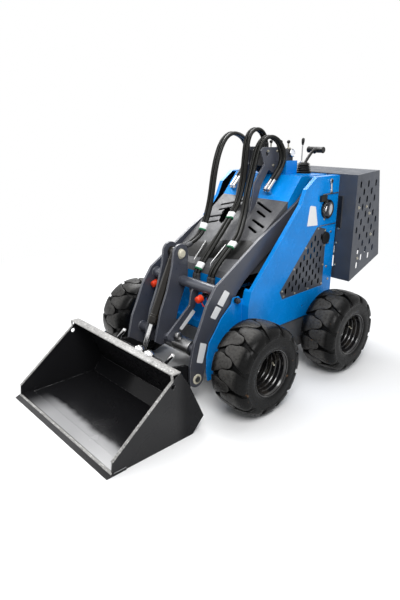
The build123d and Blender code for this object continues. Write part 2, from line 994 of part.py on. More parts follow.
# Lift arms: one cranked plate each side
for side_name, side in (("left", 1), ("right", -1)):
    plate_start = arm_inner_x if side > 0 else -arm_outer_x
    with BuildPart() as arm:
        side_plate(arm_outline, plate_start, arm_plate)
        cross_bar(bucket_pivot, plate_start, plate_start + arm_plate, bucket_end_radius)
        cross_bar(lift_pivot, plate_start, plate_start + arm_plate, lift_end_radius)
        for centre, radius in (
            (lift_pivot, lift_pin_radius + pin_clearance),
            (bucket_pivot, bucket_pin_radius + pin_clearance),
        ):
            cross_bar(
                centre,
                plate_start,
                plate_start + arm_plate,
                radius,
                mode=Mode.SUBTRACT,
            )
        side_plate(
            [
                (lift_pivot[0] - lift_end_radius, lift_pivot[1]),
                (lift_eye[0] - lift_lobe_radius, lift_eye[1]),
                (lift_eye[0] + lift_lobe_radius, lift_eye[1]),
                (lift_pivot[0] + lift_end_radius, lift_pivot[1]),
            ],
            plate_start,
            arm_plate,
        )
        cross_bar(lift_eye, plate_start, plate_start + arm_plate, lift_lobe_radius)
        cross_bar(
            lift_pivot,
            plate_start,
            plate_start + arm_plate,
            lift_pin_radius + pin_clearance,
            mode=Mode.SUBTRACT,
        )
        eye_boss_start = arm_outer_x if side > 0 else -arm_outer_x - eye_boss
        cross_bar(lift_eye, eye_boss_start, eye_boss_start + eye_boss, lift_eye_radius)
    finish(f"arm_{side_name}", arm.part)

with BuildPart() as cross_tubes:
    for centre in (upper_tube, lower_tube):
        cross_bar(centre, -arm_inner_x, arm_inner_x, cross_tube_radius)
        cross_bar(
            centre, -arm_inner_x, arm_inner_x, cross_tube_radius - 6.0, mode=Mode.SUBTRACT
        )
finish("cross_tubes", cross_tubes.part)

# Inner plates that carry the tilt cylinder
with BuildPart() as inner_plates:
    for plate_start in (
        tilt_x + tilt_ear_gap - 3.0,
        tilt_x - tilt_ear_gap + 3.0 - inner_plate,
    ):
        side_plate(inner_plate_outline, plate_start, inner_plate)
        cross_bar(tilt_base, plate_start, plate_start + inner_plate, 49.0)
        for centre in (upper_tube, lower_tube):
            cross_bar(
                centre,
                plate_start,
                plate_start + inner_plate,
                cross_tube_radius,
                mode=Mode.SUBTRACT,
            )
        cross_bar(
            tilt_base,
            plate_start,
            plate_start + inner_plate,
            12.0 + pin_clearance,
            mode=Mode.SUBTRACT,
        )
finish("inner_plates", inner_plates.part)

# Pivot pins held by the chassis
with BuildPart() as lift_pins:
    for side in (1, -1):
        start = min(side * (hood_half_width), side * (body_half_width - panel_sheet))
        end = max(side * (hood_half_width), side * (body_half_width - panel_sheet))
        cross_bar(lift_pivot, start, end, lift_pin_radius)
finish("lift_pins", lift_pins.part)

# Tilt cylinder
tilt_gland = part_way(tilt_base, tilt_pin, tilt_barrel_length)
tilt_port_reach = math.hypot(tilt_port_length, tilt_port_rise)
tilt_port_end = (tilt_base[0] + tilt_port_length, tilt_base[1] + tilt_port_rise)
tilt_hose_bend = part_way(tilt_base, tilt_port_end, tilt_port_reach + tilt_hose_run)
with BuildPart() as tilt_barrel:
    cross_bar(tilt_base, tilt_x - 28.0, tilt_x + 28.0, 26.0)
    bar_between(tilt_x, tilt_base, tilt_gland, tilt_barrel_radius)
    cross_bar(
        tilt_base,
        tilt_x - tilt_ear_gap + 3.0 - inner_plate - 8.0,
        tilt_x + tilt_ear_gap - 3.0 + inner_plate + 8.0,
        12.0,
    )
    bar_between(
        tilt_x,
        part_way(tilt_base, tilt_pin, 60.0),
        tilt_gland,
        tilt_rod_radius + pin_clearance,
        mode=Mode.SUBTRACT,
    )
    for offset_x in (-hose_pitch, hose_pitch):
        bar_between(
            tilt_x + offset_x,
            tilt_base,
            part_way(tilt_base, tilt_port_end, tilt_port_reach - pin_clearance),
            hose_radius - 1.0,
        )
finish("tilt_barrel", tilt_barrel.part)

with BuildPart() as tilt_rod:
    bar_between(tilt_x, part_way(tilt_base, tilt_pin, 220.0), tilt_pin, tilt_rod_radius)
    cross_bar(tilt_pin, tilt_x - 15.0, tilt_x + 15.0, 22.0)
finish("tilt_rod", tilt_rod.part)

# Lift cylinders
lift_gland = part_way(lift_base, lift_eye, lift_barrel_length)
lift_rod_start = part_way(lift_base, lift_eye, lift_barrel_length - lift_rod_overlap)
for side_name, side in (("left", 1), ("right", -1)):
    cylinder_x = side * lift_cylinder_x
    with BuildPart() as lift_barrel:
        cross_bar(lift_base, cylinder_x - 18.0, cylinder_x + 18.0, 22.0)
        bar_between(cylinder_x, lift_base, lift_gland, lift_barrel_radius)
        bar_between(
            cylinder_x,
            part_way(lift_base, lift_eye, 40.0),
            lift_gland,
            lift_rod_radius + pin_clearance,
            mode=Mode.SUBTRACT,
        )
        cross_bar(
            lift_base,
            cylinder_x - 20.0,
            cylinder_x + 20.0,
            12.0 + pin_clearance,
            mode=Mode.SUBTRACT,
        )
    finish(f"lift_barrel_{side_name}", lift_barrel.part)

    with BuildPart() as lift_rod:
        bar_between(cylinder_x, lift_rod_start, lift_eye, lift_rod_radius)
        cross_bar(
            lift_eye,
            cylinder_x - lift_eye_half_width,
            cylinder_x + lift_eye_half_width,
            lift_eye_radius,
        )
    finish(f"lift_rod_{side_name}", lift_rod.part)

with BuildPart() as lift_base_pins:
    for side in (1, -1):
        start = side * (lift_cylinder_x - 21.0)
        end = side * (body_half_width - panel_sheet)
        cross_bar(lift_base, min(start, end), max(start, end), 12.0)
finish("lift_base_pins", lift_base_pins.part)

# Bucket: bent shell, side plates and cutting edge
with BuildPart() as bucket_shell:
    with BuildSketch(Plane.YZ.offset(-bucket_half_width + bucket_sheet)):
        with BuildLine():
            shell_line = Polyline(*bucket_outline)
            offset(shell_line, amount=bucket_sheet, side=Side.RIGHT, kind=Kind.INTERSECTION)
        make_face()
    extrude(amount=2 * (bucket_half_width - bucket_sheet))
finish("bucket_shell", bucket_shell.part)

with BuildPart() as bucket_sides:
    for start in (-bucket_half_width, bucket_half_width - bucket_sheet):
        side_plate(bucket_side_outline, start, bucket_sheet)
        cross_bar(
            bucket_hole, start, start + bucket_sheet, bucket_hole_radius, mode=Mode.SUBTRACT
        )
finish("bucket_sides", bucket_sides.part)

with BuildPart() as cutting_edge:
    side_plate(
        [
            (edge_tip_y, 0.0),
            (edge_tip_y + 4.0, 2.0),
            (edge_tip_y + 30.0, edge_thickness),
            (edge_tip_y + edge_depth, edge_thickness),
            (edge_tip_y + edge_depth, 0.0),
        ],
        -edge_half_width,
        2 * edge_half_width,
    )
finish("cutting_edge", cutting_edge.part)

# Coupler plate behind the bucket, with ears for the arm pins and the tilt pin
coupler_outline = [
    part_way(bucket_outline[0], bucket_outline[1], 48.0),
    bucket_outline[1],
    bucket_outline[2],
    (-438.0, 82.0),
    (-522.0, 260.0),
    (-552.0, 309.0),
]
ear_outline = [
    (-532.0, 258.0),
    (-452.0, 80.0),
    (-354.0, 112.0),
    (-330.0, 180.0),
    (-400.0, 230.0),
]
with BuildPart() as coupler:
    side_plate(coupler_outline, -coupler_half_width, 2 * coupler_half_width)
    for ear_x in (-coupler_half_width, coupler_half_width - coupler_plate):
        side_plate(ear_outline, ear_x, coupler_plate)
        cross_bar(bucket_pivot, ear_x, ear_x + coupler_plate, 38.0)
    for ear_x in (tilt_x - 18.0 - coupler_plate, tilt_x + 18.0):
        side_plate(ear_outline[:3] + [(-410.0, 190.0), (-425.0, 222.0)], ear_x, coupler_plate)
finish("coupler", coupler.part)

with BuildPart() as bucket_pins:
    for side in (1, -1):
        start = side * (coupler_half_width)
        end = side * (arm_outer_x + 8.0)
        cross_bar(bucket_pivot, min(start, end), max(start, end), bucket_pin_radius)
finish("bucket_pins", bucket_pins.part)

# Port blocks behind the upper cross tube, each carrying its coupler
far_block_x = far_block_gap - arm_inner_x
far_block = (far_block_x, far_block_x + far_block_width, far_block_x + far_block_width / 2)
port_blocks_table = [(10.0, 50.0, None), (110.0, 170.0, 140.0), far_block]
with BuildPart() as port_blocks:
    for start_x, end_x, coupler_x in port_blocks_table:
        block(
            (start_x, end_x),
            (port_block_front_y, port_block_rear_y),
            (port_block_bottom_z, port_block_top_z),
        )
    cross_bar(upper_tube, -arm_inner_x, arm_inner_x, cross_tube_radius, mode=Mode.SUBTRACT)
finish("port_blocks", port_blocks.part)

with BuildPart() as quick_couplers:
    for start_x, end_x, coupler_x in port_blocks_table:
        if coupler_x is not None:
            bar_between(coupler_x, quick_coupler_start, quick_coupler_end, quick_coupler_radius)
    block(
        (-arm_inner_x, arm_inner_x),
        (port_block_front_y, port_block_rear_y),
        (port_block_bottom_z, port_block_top_z),
        mode=Mode.SUBTRACT,
    )
finish("quick_couplers", quick_couplers.part)

with BuildPart() as coupler_caps:
    for start_x, end_x, coupler_x in port_blocks_table:
        if coupler_x is not None:
            bar_between(coupler_x, quick_coupler_end, cap_end, cap_red_radius)
finish("coupler_caps", coupler_caps.part)

# Strut between the two cross tubes
with BuildPart() as strut:
    side_plate(strut_outline, strut_x, strut_plate)
    for centre in (upper_tube, lower_tube):
        cross_bar(
            centre, strut_x, strut_x + strut_plate, cross_tube_radius, mode=Mode.SUBTRACT
        )
finish("strut", strut.part)

# Hoses: each route as (x, y, z), then the sideways offset of the second hose
port_z = port_block_top_z + pin_clearance
hose_routes = [
    (
        "hoses_tilt",
        (24.0, 0.0),
        [
            (cowl_fitting_right_x - hose_pitch, *cowl_fitting_top),
            (-180.0, 426.0, 1108.0),
            (-177.0, 436.0, 1160.0),
            (-164.0, 414.0, 1215.0),
            (-142.0, 360.0, 1258.0),
            (-118.0, 290.0, 1282.0),
            (-102.0, 216.0, 1291.0),
            (-92.0, 152.0, 1266.0),
            (-88.0, 104.0, 1196.0),
            (-87.0, 72.0, 1090.0),
            (-87.0, 50.0, 945.0),
            (-87.0, 10.0, 830.0),
            (-87.0, -24.0, 774.0),
            (tilt_x - hose_pitch, *tilt_hose_bend),
            (tilt_x - hose_pitch, *tilt_port_end),
        ],
    ),
    (
        "hoses_aux",
        (23.0, 0.0),
        [
            (-36.0, 420.0, valve_port_z + pin_clearance),
            (-36.0, 420.0, 1243.0),
            (-36.0, 397.0, 1290.0),
            (-36.0, 348.0, 1313.0),
            (-36.0, 298.0, 1300.0),
            (-36.0, 268.0, 1256.0),
            (-36.0, 255.0, 1150.0),
            (-36.0, 246.0, 1020.0),
            (-34.0, 196.0, 905.0),
            (-15.0, 96.0, 820.0),
            (12.0, -14.0, 740.0),
            (18.0, -108.0, 655.0),
            (18.0, -150.0, 602.0),
            (18.0, -150.0, port_z),
        ],
    ),
    (
        "hoses_lift",
        (24.0, 0.0),
        [
            (cowl_fitting_left_x - hose_pitch, *cowl_fitting_top),
            (76.0, 428.0, 1108.0),
            (76.0, 444.0, 1156.0),
            (73.0, 438.0, 1206.0),
            (60.0, 412.0, 1252.0),
            (40.0, 370.0, 1276.0),
            (20.0, 326.0, 1256.0),
            (10.0, 300.0, 1200.0),
            (8.0, 274.0, 1100.0),
            (10.0, 234.0, 985.0),
            (52.0, 168.0, 884.0),
            (94.0, 98.0, 820.0),
            (126.0, 36.0, 772.0),
            (128.0, -50.0, 710.0),
            (128.0, -130.0, 644.0),
            (128.0, -152.0, 598.0),
            (128.0, -152.0, port_z),
        ],
    ),
]
for name, (offset_x, offset_y), route in hose_routes:
    second_route = [(x + offset_x, y + offset_y, z) for x, y, z in route]
    hoses = []
    for hose_route in (route, second_route):
        hose, length, radii = tube_along(hose_route, hose_radius)
        share = hose.volume / (math.pi * hose_radius**2 * length)
        rounded = [round(value) for value in radii]
        print(name, "length", round(length), "volume share", round(share, 4), "radii", rounded)
        hoses.append(hose)
    finish(name, Compound(children=hoses))

# Hose ends on the cowl: a crimped sleeve, a nut and an elbow into the slope
cowl_slope_length = math.hypot(cowl_crest_y - cowl_front_y, body_top_z - cowl_front_z)
cowl_in = (
    (body_top_z - cowl_front_z) / cowl_slope_length,
    -(cowl_crest_y - cowl_front_y) / cowl_slope_length,
)
foot_from_cowl = (cowl_fitting_foot[0] - cowl_front_y, cowl_fitting_foot[1] - cowl_front_z)
elbow_length = -(foot_from_cowl[0] * cowl_in[0] + foot_from_cowl[1] * cowl_in[1])
elbow_end = (
    cowl_fitting_foot[0] + cowl_in[0] * elbow_length,
    cowl_fitting_foot[1] + cowl_in[1] * elbow_length,
)
sleeve_length = math.dist(cowl_fitting_top, cowl_fitting_foot)
with BuildPart() as cowl_fittings:
    for centre_x in (cowl_fitting_left_x, cowl_fitting_right_x):
        for fitting_x in (centre_x - hose_pitch, centre_x + hose_pitch):
            sleeve_start = part_way(cowl_fitting_top, cowl_fitting_foot, pin_clearance)
            nut_start = part_way(cowl_fitting_top, cowl_fitting_foot, sleeve_length - nut_length)
            bar_between(fitting_x, sleeve_start, cowl_fitting_foot, fitting_radius)
            bar_between(fitting_x, nut_start, cowl_fitting_foot, hose_pitch - pin_clearance)
            bar_between(fitting_x, cowl_fitting_foot, elbow_end, fitting_radius - 2.0)
finish("cowl_fittings", cowl_fittings.part)
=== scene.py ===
"""Mini skid steer loader: the pieces, finishes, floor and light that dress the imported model.

Lengths are in metres. +X is the machine's left side, the bucket points along -Y, +Z is up.
"""
import math

import bpy
from mathutils import Matrix, Vector


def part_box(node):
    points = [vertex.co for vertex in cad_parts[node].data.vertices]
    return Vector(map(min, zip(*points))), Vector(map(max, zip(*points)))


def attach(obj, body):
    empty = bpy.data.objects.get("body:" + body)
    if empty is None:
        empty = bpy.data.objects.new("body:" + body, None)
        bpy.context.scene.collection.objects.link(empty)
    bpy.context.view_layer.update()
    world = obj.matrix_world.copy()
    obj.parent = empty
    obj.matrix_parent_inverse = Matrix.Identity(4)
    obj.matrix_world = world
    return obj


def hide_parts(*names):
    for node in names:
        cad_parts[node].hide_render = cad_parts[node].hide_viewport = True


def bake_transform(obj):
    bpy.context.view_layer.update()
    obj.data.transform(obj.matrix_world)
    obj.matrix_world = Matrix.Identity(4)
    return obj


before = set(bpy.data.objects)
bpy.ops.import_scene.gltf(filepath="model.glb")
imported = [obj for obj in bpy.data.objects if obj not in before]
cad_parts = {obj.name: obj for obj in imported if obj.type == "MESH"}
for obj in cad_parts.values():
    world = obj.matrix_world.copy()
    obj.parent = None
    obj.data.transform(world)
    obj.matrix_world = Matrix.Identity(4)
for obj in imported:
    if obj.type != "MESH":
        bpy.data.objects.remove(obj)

bl_info = {
    "name": "Mini skid steer loader",
    "version": (1, 0, 0),
    "blender": (4, 5, 0),
    "location": "View3D > Sidebar > Loader",
    "description": "Dresses a small wheeled loader: tyres, hoses, guards, controls and finishes",
    "category": "Object",
}

# Places on the machine: x, y, z, or y and z where there are two

WHEELS = (
    ("front_left", 1, -0.1565),
    ("front_right", -1, -0.1565),
    ("rear_left", 1, 0.5385),
    ("rear_right", -1, 0.5385),
)
AXLE_HEIGHT = 0.2285
TYRE_INNER_X = 0.3575
TYRE_WIDTH = 0.216
TREAD_RADIUS = 0.2272
POD_FACE_X = 0.318
ARM_FACE_X = 0.260
STRUT_FACE_X = 0.080
LEFTWARD = (1, 0, 0)
HOOD_TOP = (0.315, 0.947)
HOOD_SLOPE = 0.75
LIFT_PIVOT = (0.521, 1.010)
BUCKET_PIVOT = (-0.354, 0.150)
UPPER_TUBE = (-0.196, 0.560)
LOWER_TUBE = (-0.304, 0.268)
LAMP_CENTRE = (0.561, 0.894)
TILT_BASE = (-0.075, -0.203, 0.704)
TILT_PIN = (-0.075, -0.433, 0.200)

# The materials by their short names, made by the first operator

FINISH = {}


# Sizes and colours that a user would change


class LoaderColours(bpy.types.PropertyGroup):
    """Colours of the machine's paints and rubbers."""

    body: bpy.props.FloatVectorProperty(
        name="Body paint", description="Blue paint of the sheet metal body",
        default=(0.000, 0.230, 0.690), subtype="COLOR", size=3, min=0.0, max=1.0,
    )
    arms: bpy.props.FloatVectorProperty(
        name="Arm paint", description="Slate grey paint of the lift arms and mast",
        default=(0.056, 0.060, 0.076), subtype="COLOR", size=3, min=0.0, max=1.0,
    )
    guard: bpy.props.FloatVectorProperty(
        name="Guard paint", description="Dark paint of the engine guard",
        default=(0.044, 0.051, 0.067), subtype="COLOR", size=3, min=0.0, max=1.0,
    )
    hood: bpy.props.FloatVectorProperty(
        name="Hood paint", description="Textured grey paint of the sloping hood",
        default=(0.070, 0.071, 0.076), subtype="COLOR", size=3, min=0.0, max=1.0,
    )
    bucket: bpy.props.FloatVectorProperty(
        name="Bucket paint", description="Black paint of the bucket",
        default=(0.010, 0.010, 0.011), subtype="COLOR", size=3, min=0.0, max=1.0,
    )
    rubber: bpy.props.FloatVectorProperty(
        name="Tyre rubber", description="Black rubber of the tyres",
        default=(0.0045, 0.0045, 0.0045), subtype="COLOR", size=3, min=0.0, max=1.0,
    )
    worn_rubber: bpy.props.FloatVectorProperty(
        name="Worn rubber", description="Greyed rubber on top of the tread bars",
        default=(0.060, 0.058, 0.055), subtype="COLOR", size=3, min=0.0, max=1.0,
    )


class LoaderSizes(bpy.types.PropertyGroup):
    """Sizes of the repeated details."""

    tread_bars: bpy.props.IntProperty(
        name="Tread bars", description="Tread bars on each half of a tyre",
        default=12, min=6, max=24,
    )
    bar_depth: bpy.props.FloatProperty(
        name="Bar depth", description="Height of a tread bar over the casing",
        default=0.016, min=0.004, max=0.03, unit="LENGTH", subtype="DISTANCE",
    )
    hose_radius: bpy.props.FloatProperty(
        name="Hose radius", description="Outside radius of a hydraulic hose",
        default=0.010, min=0.004, max=0.02, unit="LENGTH", subtype="DISTANCE",
    )
    bolt_size: bpy.props.FloatProperty(
        name="Bolt size", description="Width across the corners of a panel bolt",
        default=0.011, min=0.004, max=0.04, unit="LENGTH", subtype="DISTANCE",
    )


def colours():
    return bpy.context.scene.loader_colours


def sizes():
    return bpy.context.scene.loader_sizes


# Modelling


def hold(*pieces):
    """Selects these pieces alone, the first one active."""
    if bpy.context.object is not None and bpy.context.object.mode != "OBJECT":
        bpy.ops.object.mode_set(mode="OBJECT")
    bpy.ops.object.select_all(action="DESELECT")
    for piece in pieces:
        piece.select_set(True)
    if pieces:
        bpy.context.view_layer.objects.active = pieces[0]


def edit(piece):
    """Opens a piece in edit mode with all of it selected."""
    hold(piece)
    bpy.ops.object.mode_set(mode="EDIT")
    bpy.ops.mesh.select_all(action="SELECT")


def close():
    bpy.ops.object.mode_set(mode="OBJECT")


def remove(piece):
    hold(piece)
    bpy.ops.object.delete()


def settle(piece):
    """Puts a piece's place into its mesh."""
    hold(piece)
    bpy.ops.object.transform_apply(location=True, rotation=True, scale=True)


def added(name):
    piece = bpy.context.active_object
    piece.name = name
    piece.data.name = name
    return piece


def apply(piece, kind, **values):
    """Adds a modifier with these values and applies it."""
    hold(piece)
    modifier = piece.modifiers.new(kind.lower(), kind)
    for key, value in values.items():
        setattr(modifier, key, value)
    bpy.ops.object.modifier_apply(modifier=modifier.name)
    return piece


def round_edges(piece, width, segments=2, angle=30.0):
    return apply(
        piece, "BEVEL", width=width, segments=segments, limit_method="ANGLE",
        angle_limit=math.radians(angle), use_clamp_overlap=True,
    )


def smooth(piece, angle):
    hold(piece)
    bpy.ops.object.shade_smooth_by_angle(angle=math.radians(angle))


def spread(axis, along, u, v):
    """The point at `along` on the axis, with u and v on the other two, in the order x, y, z."""
    if axis == "x":
        return Vector((along, u, v))
    if axis == "y":
        return Vector((u, along, v))
    return Vector((u, v, along))


def plate(name, outline, axis, start, end, edge, segments=2):
    """A plate with this outline, drawn out from start to end along the axis, its edges rounded."""
    hold()
    bpy.ops.mesh.primitive_circle_add(vertices=len(outline), radius=0.1, fill_type="NGON")
    piece = added(name)
    for vertex, (u, v) in zip(piece.data.vertices, outline):
        vertex.co = spread(axis, start, u, v)
    edit(piece)
    bpy.ops.mesh.extrude_region_move(
        TRANSFORM_OT_translate={"value": spread(axis, end - start, 0.0, 0.0)}
    )
    bpy.ops.mesh.select_all(action="SELECT")
    bpy.ops.mesh.normals_make_consistent(inside=False)
    close()
    return round_edges(piece, edge, segments)


def box(name, low, high, edge, segments=2):
    """A block between two corners with its edges rounded."""
    low, high = Vector(low), Vector(high)
    hold()
    bpy.ops.mesh.primitive_cube_add(size=1.0, location=(low + high) / 2)
    piece = added(name)
    piece.scale = high - low
    settle(piece)
    return round_edges(piece, edge, segments)


def aim(piece, start, end):
    """Turns a piece built along +Z from the origin so that it lies from start towards end."""
    start, end = Vector(start), Vector(end)
    turn = (end - start).to_track_quat("Z", "Y").to_matrix().to_4x4()
    piece.data.transform(Matrix.Translation(start) @ turn)
    return piece


def turned(name, profile, steps, start=(0, 0, 0), end=(0, 0, 1)):
    """A solid spun from a closed profile of (radius, height) points, from start towards end."""
    hold()
    bpy.ops.mesh.primitive_circle_add(vertices=len(profile), radius=0.1, fill_type="NOTHING")
    piece = added(name)
    for vertex, (radius, height) in zip(piece.data.vertices, profile):
        vertex.co = (radius, 0.0, height)
    edit(piece)
    bpy.ops.mesh.spin(steps=steps, angle=2 * math.pi, center=(0, 0, 0), axis=(0, 0, 1))
    bpy.ops.mesh.select_all(action="SELECT")
    bpy.ops.mesh.remove_doubles(threshold=0.00001)
    bpy.ops.mesh.normals_make_consistent(inside=False)
    close()
    return aim(piece, start, end)


def rod(name, start, end, radius, edge, sides=24, top=None):
    """A round bar from start to end, its ends rounded, or tapered to the top radius."""
    length = (Vector(end) - Vector(start)).length
    tip = radius if top is None else top
    profile = [
        (0.0, 0.0), (radius - edge, 0.0), (radius, edge),
        (tip, length - edge), (tip - edge, length), (0.0, length),
    ]
    return turned(name, profile, sides, start, end)


def sideways(name, profile, steps, start, way=1):
    """A solid spun round an axis along x, from its start towards +X, or -X where way is -1."""
    return turned(name, profile, steps, start, Vector(start) + Vector((way, 0, 0)))


def ball(name, centre, radius):
    """A knob turned from a half circle."""
    profile = [
        (radius * math.sin(math.pi * k / 10), -radius * math.cos(math.pi * k / 10))
        for k in range(11)
    ]
    return turned(name, profile, 24, centre, Vector(centre) + Vector((0, 0, 1)))


def copied(piece, *moves):
    """Copies of a piece, one for each matrix, every copy with its own mesh."""
    copies = []
    for move in moves:
        hold(piece)
        bpy.ops.object.duplicate()
        copy = bpy.context.active_object
        copy.data.transform(move)
        if move.determinant() < 0:
            copy.data.flip_normals()
        copies.append(copy)
    return copies


def repeated(piece, moves):
    """Copies that take the piece's place, one for each matrix."""
    copies = copied(piece, *moves)
    remove(piece)
    return copies


def stacked(piece, step, count):
    """A row of copies that takes the piece's place, each one step further."""
    return repeated(piece, [Matrix.Translation(Vector(step) * k) for k in range(count)])


def turns(count, lead=0.0):
    """Turns about z, evenly spread round the circle, the first one by a lead of a step."""
    return [Matrix.Rotation(2 * math.pi * (k + lead) / count, 4, "Z") for k in range(count)]


def mirrored(piece):
    """A copy on the machine's other side."""
    return copied(piece, Matrix.Scale(-1, 4, Vector((1, 0, 0))))[0]


def joined(name, pieces):
    """One piece made of several, named."""
    hold(*pieces)
    if len(pieces) > 1:
        bpy.ops.object.join()
    return added(name)


def done(piece, body, finish, replaces=(), angle=35.0):
    """Finishes a piece: its place in its mesh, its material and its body."""
    settle(piece)
    piece.data.materials.clear()
    piece.data.materials.append(FINISH[finish])
    smooth(piece, angle)
    if body:
        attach(piece, body)
    if replaces:
        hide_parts(*replaces)
    return piece


def fit(name, pieces, body, finish, replaces=(), angle=35.0):
    """One finished piece made of several."""
    return done(joined(name, pieces), body, finish, replaces, angle)


def both_sides(name, pieces, body, finish):
    """One finished piece made of several, in the given finish, and its copy on the machine's other
    side.
    """
    near = joined(name + "_left", pieces)
    far = mirrored(near)
    far.name = name + "_right"
    for piece in (near, far):
        done(piece, body, finish)


def bolt(name, centre, axis, size=None, height=0.004):
    """A hexagon head with its washer, its top along the axis."""
    size = size or sizes().bolt_size
    axis = Vector(axis)
    centre = Vector(centre)
    washer = rod(name + "_washer", centre, centre + axis * 0.0012, size * 0.68, 0.0003, 20)
    hold()
    bpy.ops.mesh.primitive_cylinder_add(vertices=6, radius=size / 2, depth=height)
    head = added(name)
    head.data.transform(Matrix.Translation((0, 0, height / 2 + 0.001)))
    round_edges(head, size * 0.06, 2)
    aim(head, centre, centre + axis)
    return joined(name, [head, washer])


# Finishes


class Tree:
    """A node tree, with short calls that add and link nodes."""

    def __init__(self, tree):
        self.tree = tree

    def link(self, a, b):
        self.tree.links.new(a, b)

    def node(self, kind, inputs=(), **settings):
        made = self.tree.nodes.new(kind)
        for key, value in settings.items():
            setattr(made, key, value)
        for key, value in dict(inputs).items():
            if isinstance(value, bpy.types.NodeSocket):
                self.link(value, made.inputs[key])
            else:
                made.inputs[key].default_value = value
        return made

    def math(self, operation, a, b):
        return self.node("ShaderNodeMath", {0: a, 1: b}, operation=operation).outputs[0]

    def product(self, first, *others):
        for other in others:
            first = self.math("MULTIPLY", first, other)
        return first

    def layered(self, share, first, second):
        """The second shader over the first one, by this share."""
        inputs = {0: share, 1: first.outputs[0], 2: second.outputs[0]}
        return self.node("ShaderNodeMixShader", inputs).outputs[0]

    def seen_by(self, *kinds):
        """1 where the ray is of one of these kinds."""
        rays = self.node("ShaderNodeLightPath").outputs
        seen = rays[f"Is {kinds[0]} Ray"]
        for kind in kinds[1:]:
            seen = self.math("MAXIMUM", seen, rays[f"Is {kind} Ray"])
        return seen


class Recipe(Tree):
    """A material's nodes, built round its Principled shader."""

    def __init__(self, name):
        self.material = bpy.data.materials.new(name)
        self.material.use_nodes = True
        super().__init__(self.material.node_tree)
        self.shader = self.tree.nodes["Principled BSDF"]
        self.place = self.node("ShaderNodeTexCoord").outputs["Object"]

    def parts(self, vector=None):
        """The x, y and z of a vector, or else of the mesh's own place."""
        return self.node("ShaderNodeSeparateXYZ", {0: vector or self.place}).outputs

    def facing(self):
        """The x, y and z of the mesh's normal."""
        return self.parts(self.node("ShaderNodeTexCoord").outputs["Normal"])

    def stretched(self, scale, place=None):
        """Coordinates scaled by x, y, z."""
        return self.node(
            "ShaderNodeMapping", {"Vector": place or self.place, "Scale": scale}
        ).outputs["Vector"]

    def noise(self, scale, detail, rough=0.55, place=None):
        return self.node(
            "ShaderNodeTexNoise",
            {"Vector": place or self.place, "Scale": scale, "Detail": detail, "Roughness": rough},
        ).outputs["Fac"]

    def between(self, value, low, high, to_low=0.0, to_high=1.0):
        """Maps a value from low..high to to_low..to_high, held at the ends."""
        return self.node(
            "ShaderNodeMapRange",
            {"Value": value, "From Min": low, "From Max": high,
             "To Min": to_low, "To Max": to_high},
            interpolation_type="SMOOTHSTEP",
        ).outputs["Result"]

    def mix(self, amount, a, b):
        made = self.node("ShaderNodeMix", {"Factor": amount}, data_type="RGBA")
        for socket, value in ((made.inputs[6], a), (made.inputs[7], b)):
            if isinstance(value, bpy.types.NodeSocket):
                self.link(value, socket)
            else:
                socket.default_value = (*value, 1.0)
        return made.outputs[2]

    def soft_edges(self, radius):
        """A normal that rounds the mesh's sharp edges."""
        return self.node("ShaderNodeBevel", {"Radius": radius}, samples=4).outputs["Normal"]

    def edges(self, normal):
        """1 on the mesh's sharp edges and 0 on its faces."""
        flat = self.node("ShaderNodeNewGeometry").outputs["True Normal"]
        facing = self.node(
            "ShaderNodeVectorMath", {0: normal, 1: flat}, operation="DOT_PRODUCT"
        ).outputs["Value"]
        return self.between(self.math("SUBTRACT", 1.0, facing), 0.02, 0.2)

    def shaded_inner_faces(self):
        """1 on faces that look into the body, where painted shade goes: inner sides, undersides and
        the rear wall's front.
        """
        normal, place = self.facing(), self.parts()
        inward = self.math("LESS_THAN", self.product(place["X"], normal["X"]), -0.15)
        under = self.math("LESS_THAN", normal["Z"], -0.4)
        ahead = self.product(self.math("LESS_THAN", normal["Y"], -0.5),
                             self.math("GREATER_THAN", place["Y"], 0.60))
        return self.math("MAXIMUM", self.math("MAXIMUM", inward, under), ahead)

    def bump(self, height, distance, strength, normal=None):
        inputs = {"Height": height, "Distance": distance, "Strength": strength}
        if normal is not None:
            inputs["Normal"] = normal
        return self.node("ShaderNodeBump", inputs).outputs["Normal"]

    def set(self, **values):
        """Sets or links the shader's sockets, named with _ for spaces."""
        for key, value in values.items():
            socket = self.shader.inputs[key.replace("_", " ")]
            if isinstance(value, bpy.types.NodeSocket):
                self.link(value, socket)
            elif socket.type == "RGBA":
                socket.default_value = (*value, 1.0)
            else:
                socket.default_value = value


def darker(colour, share):
    return tuple(channel * share for channel in colour)


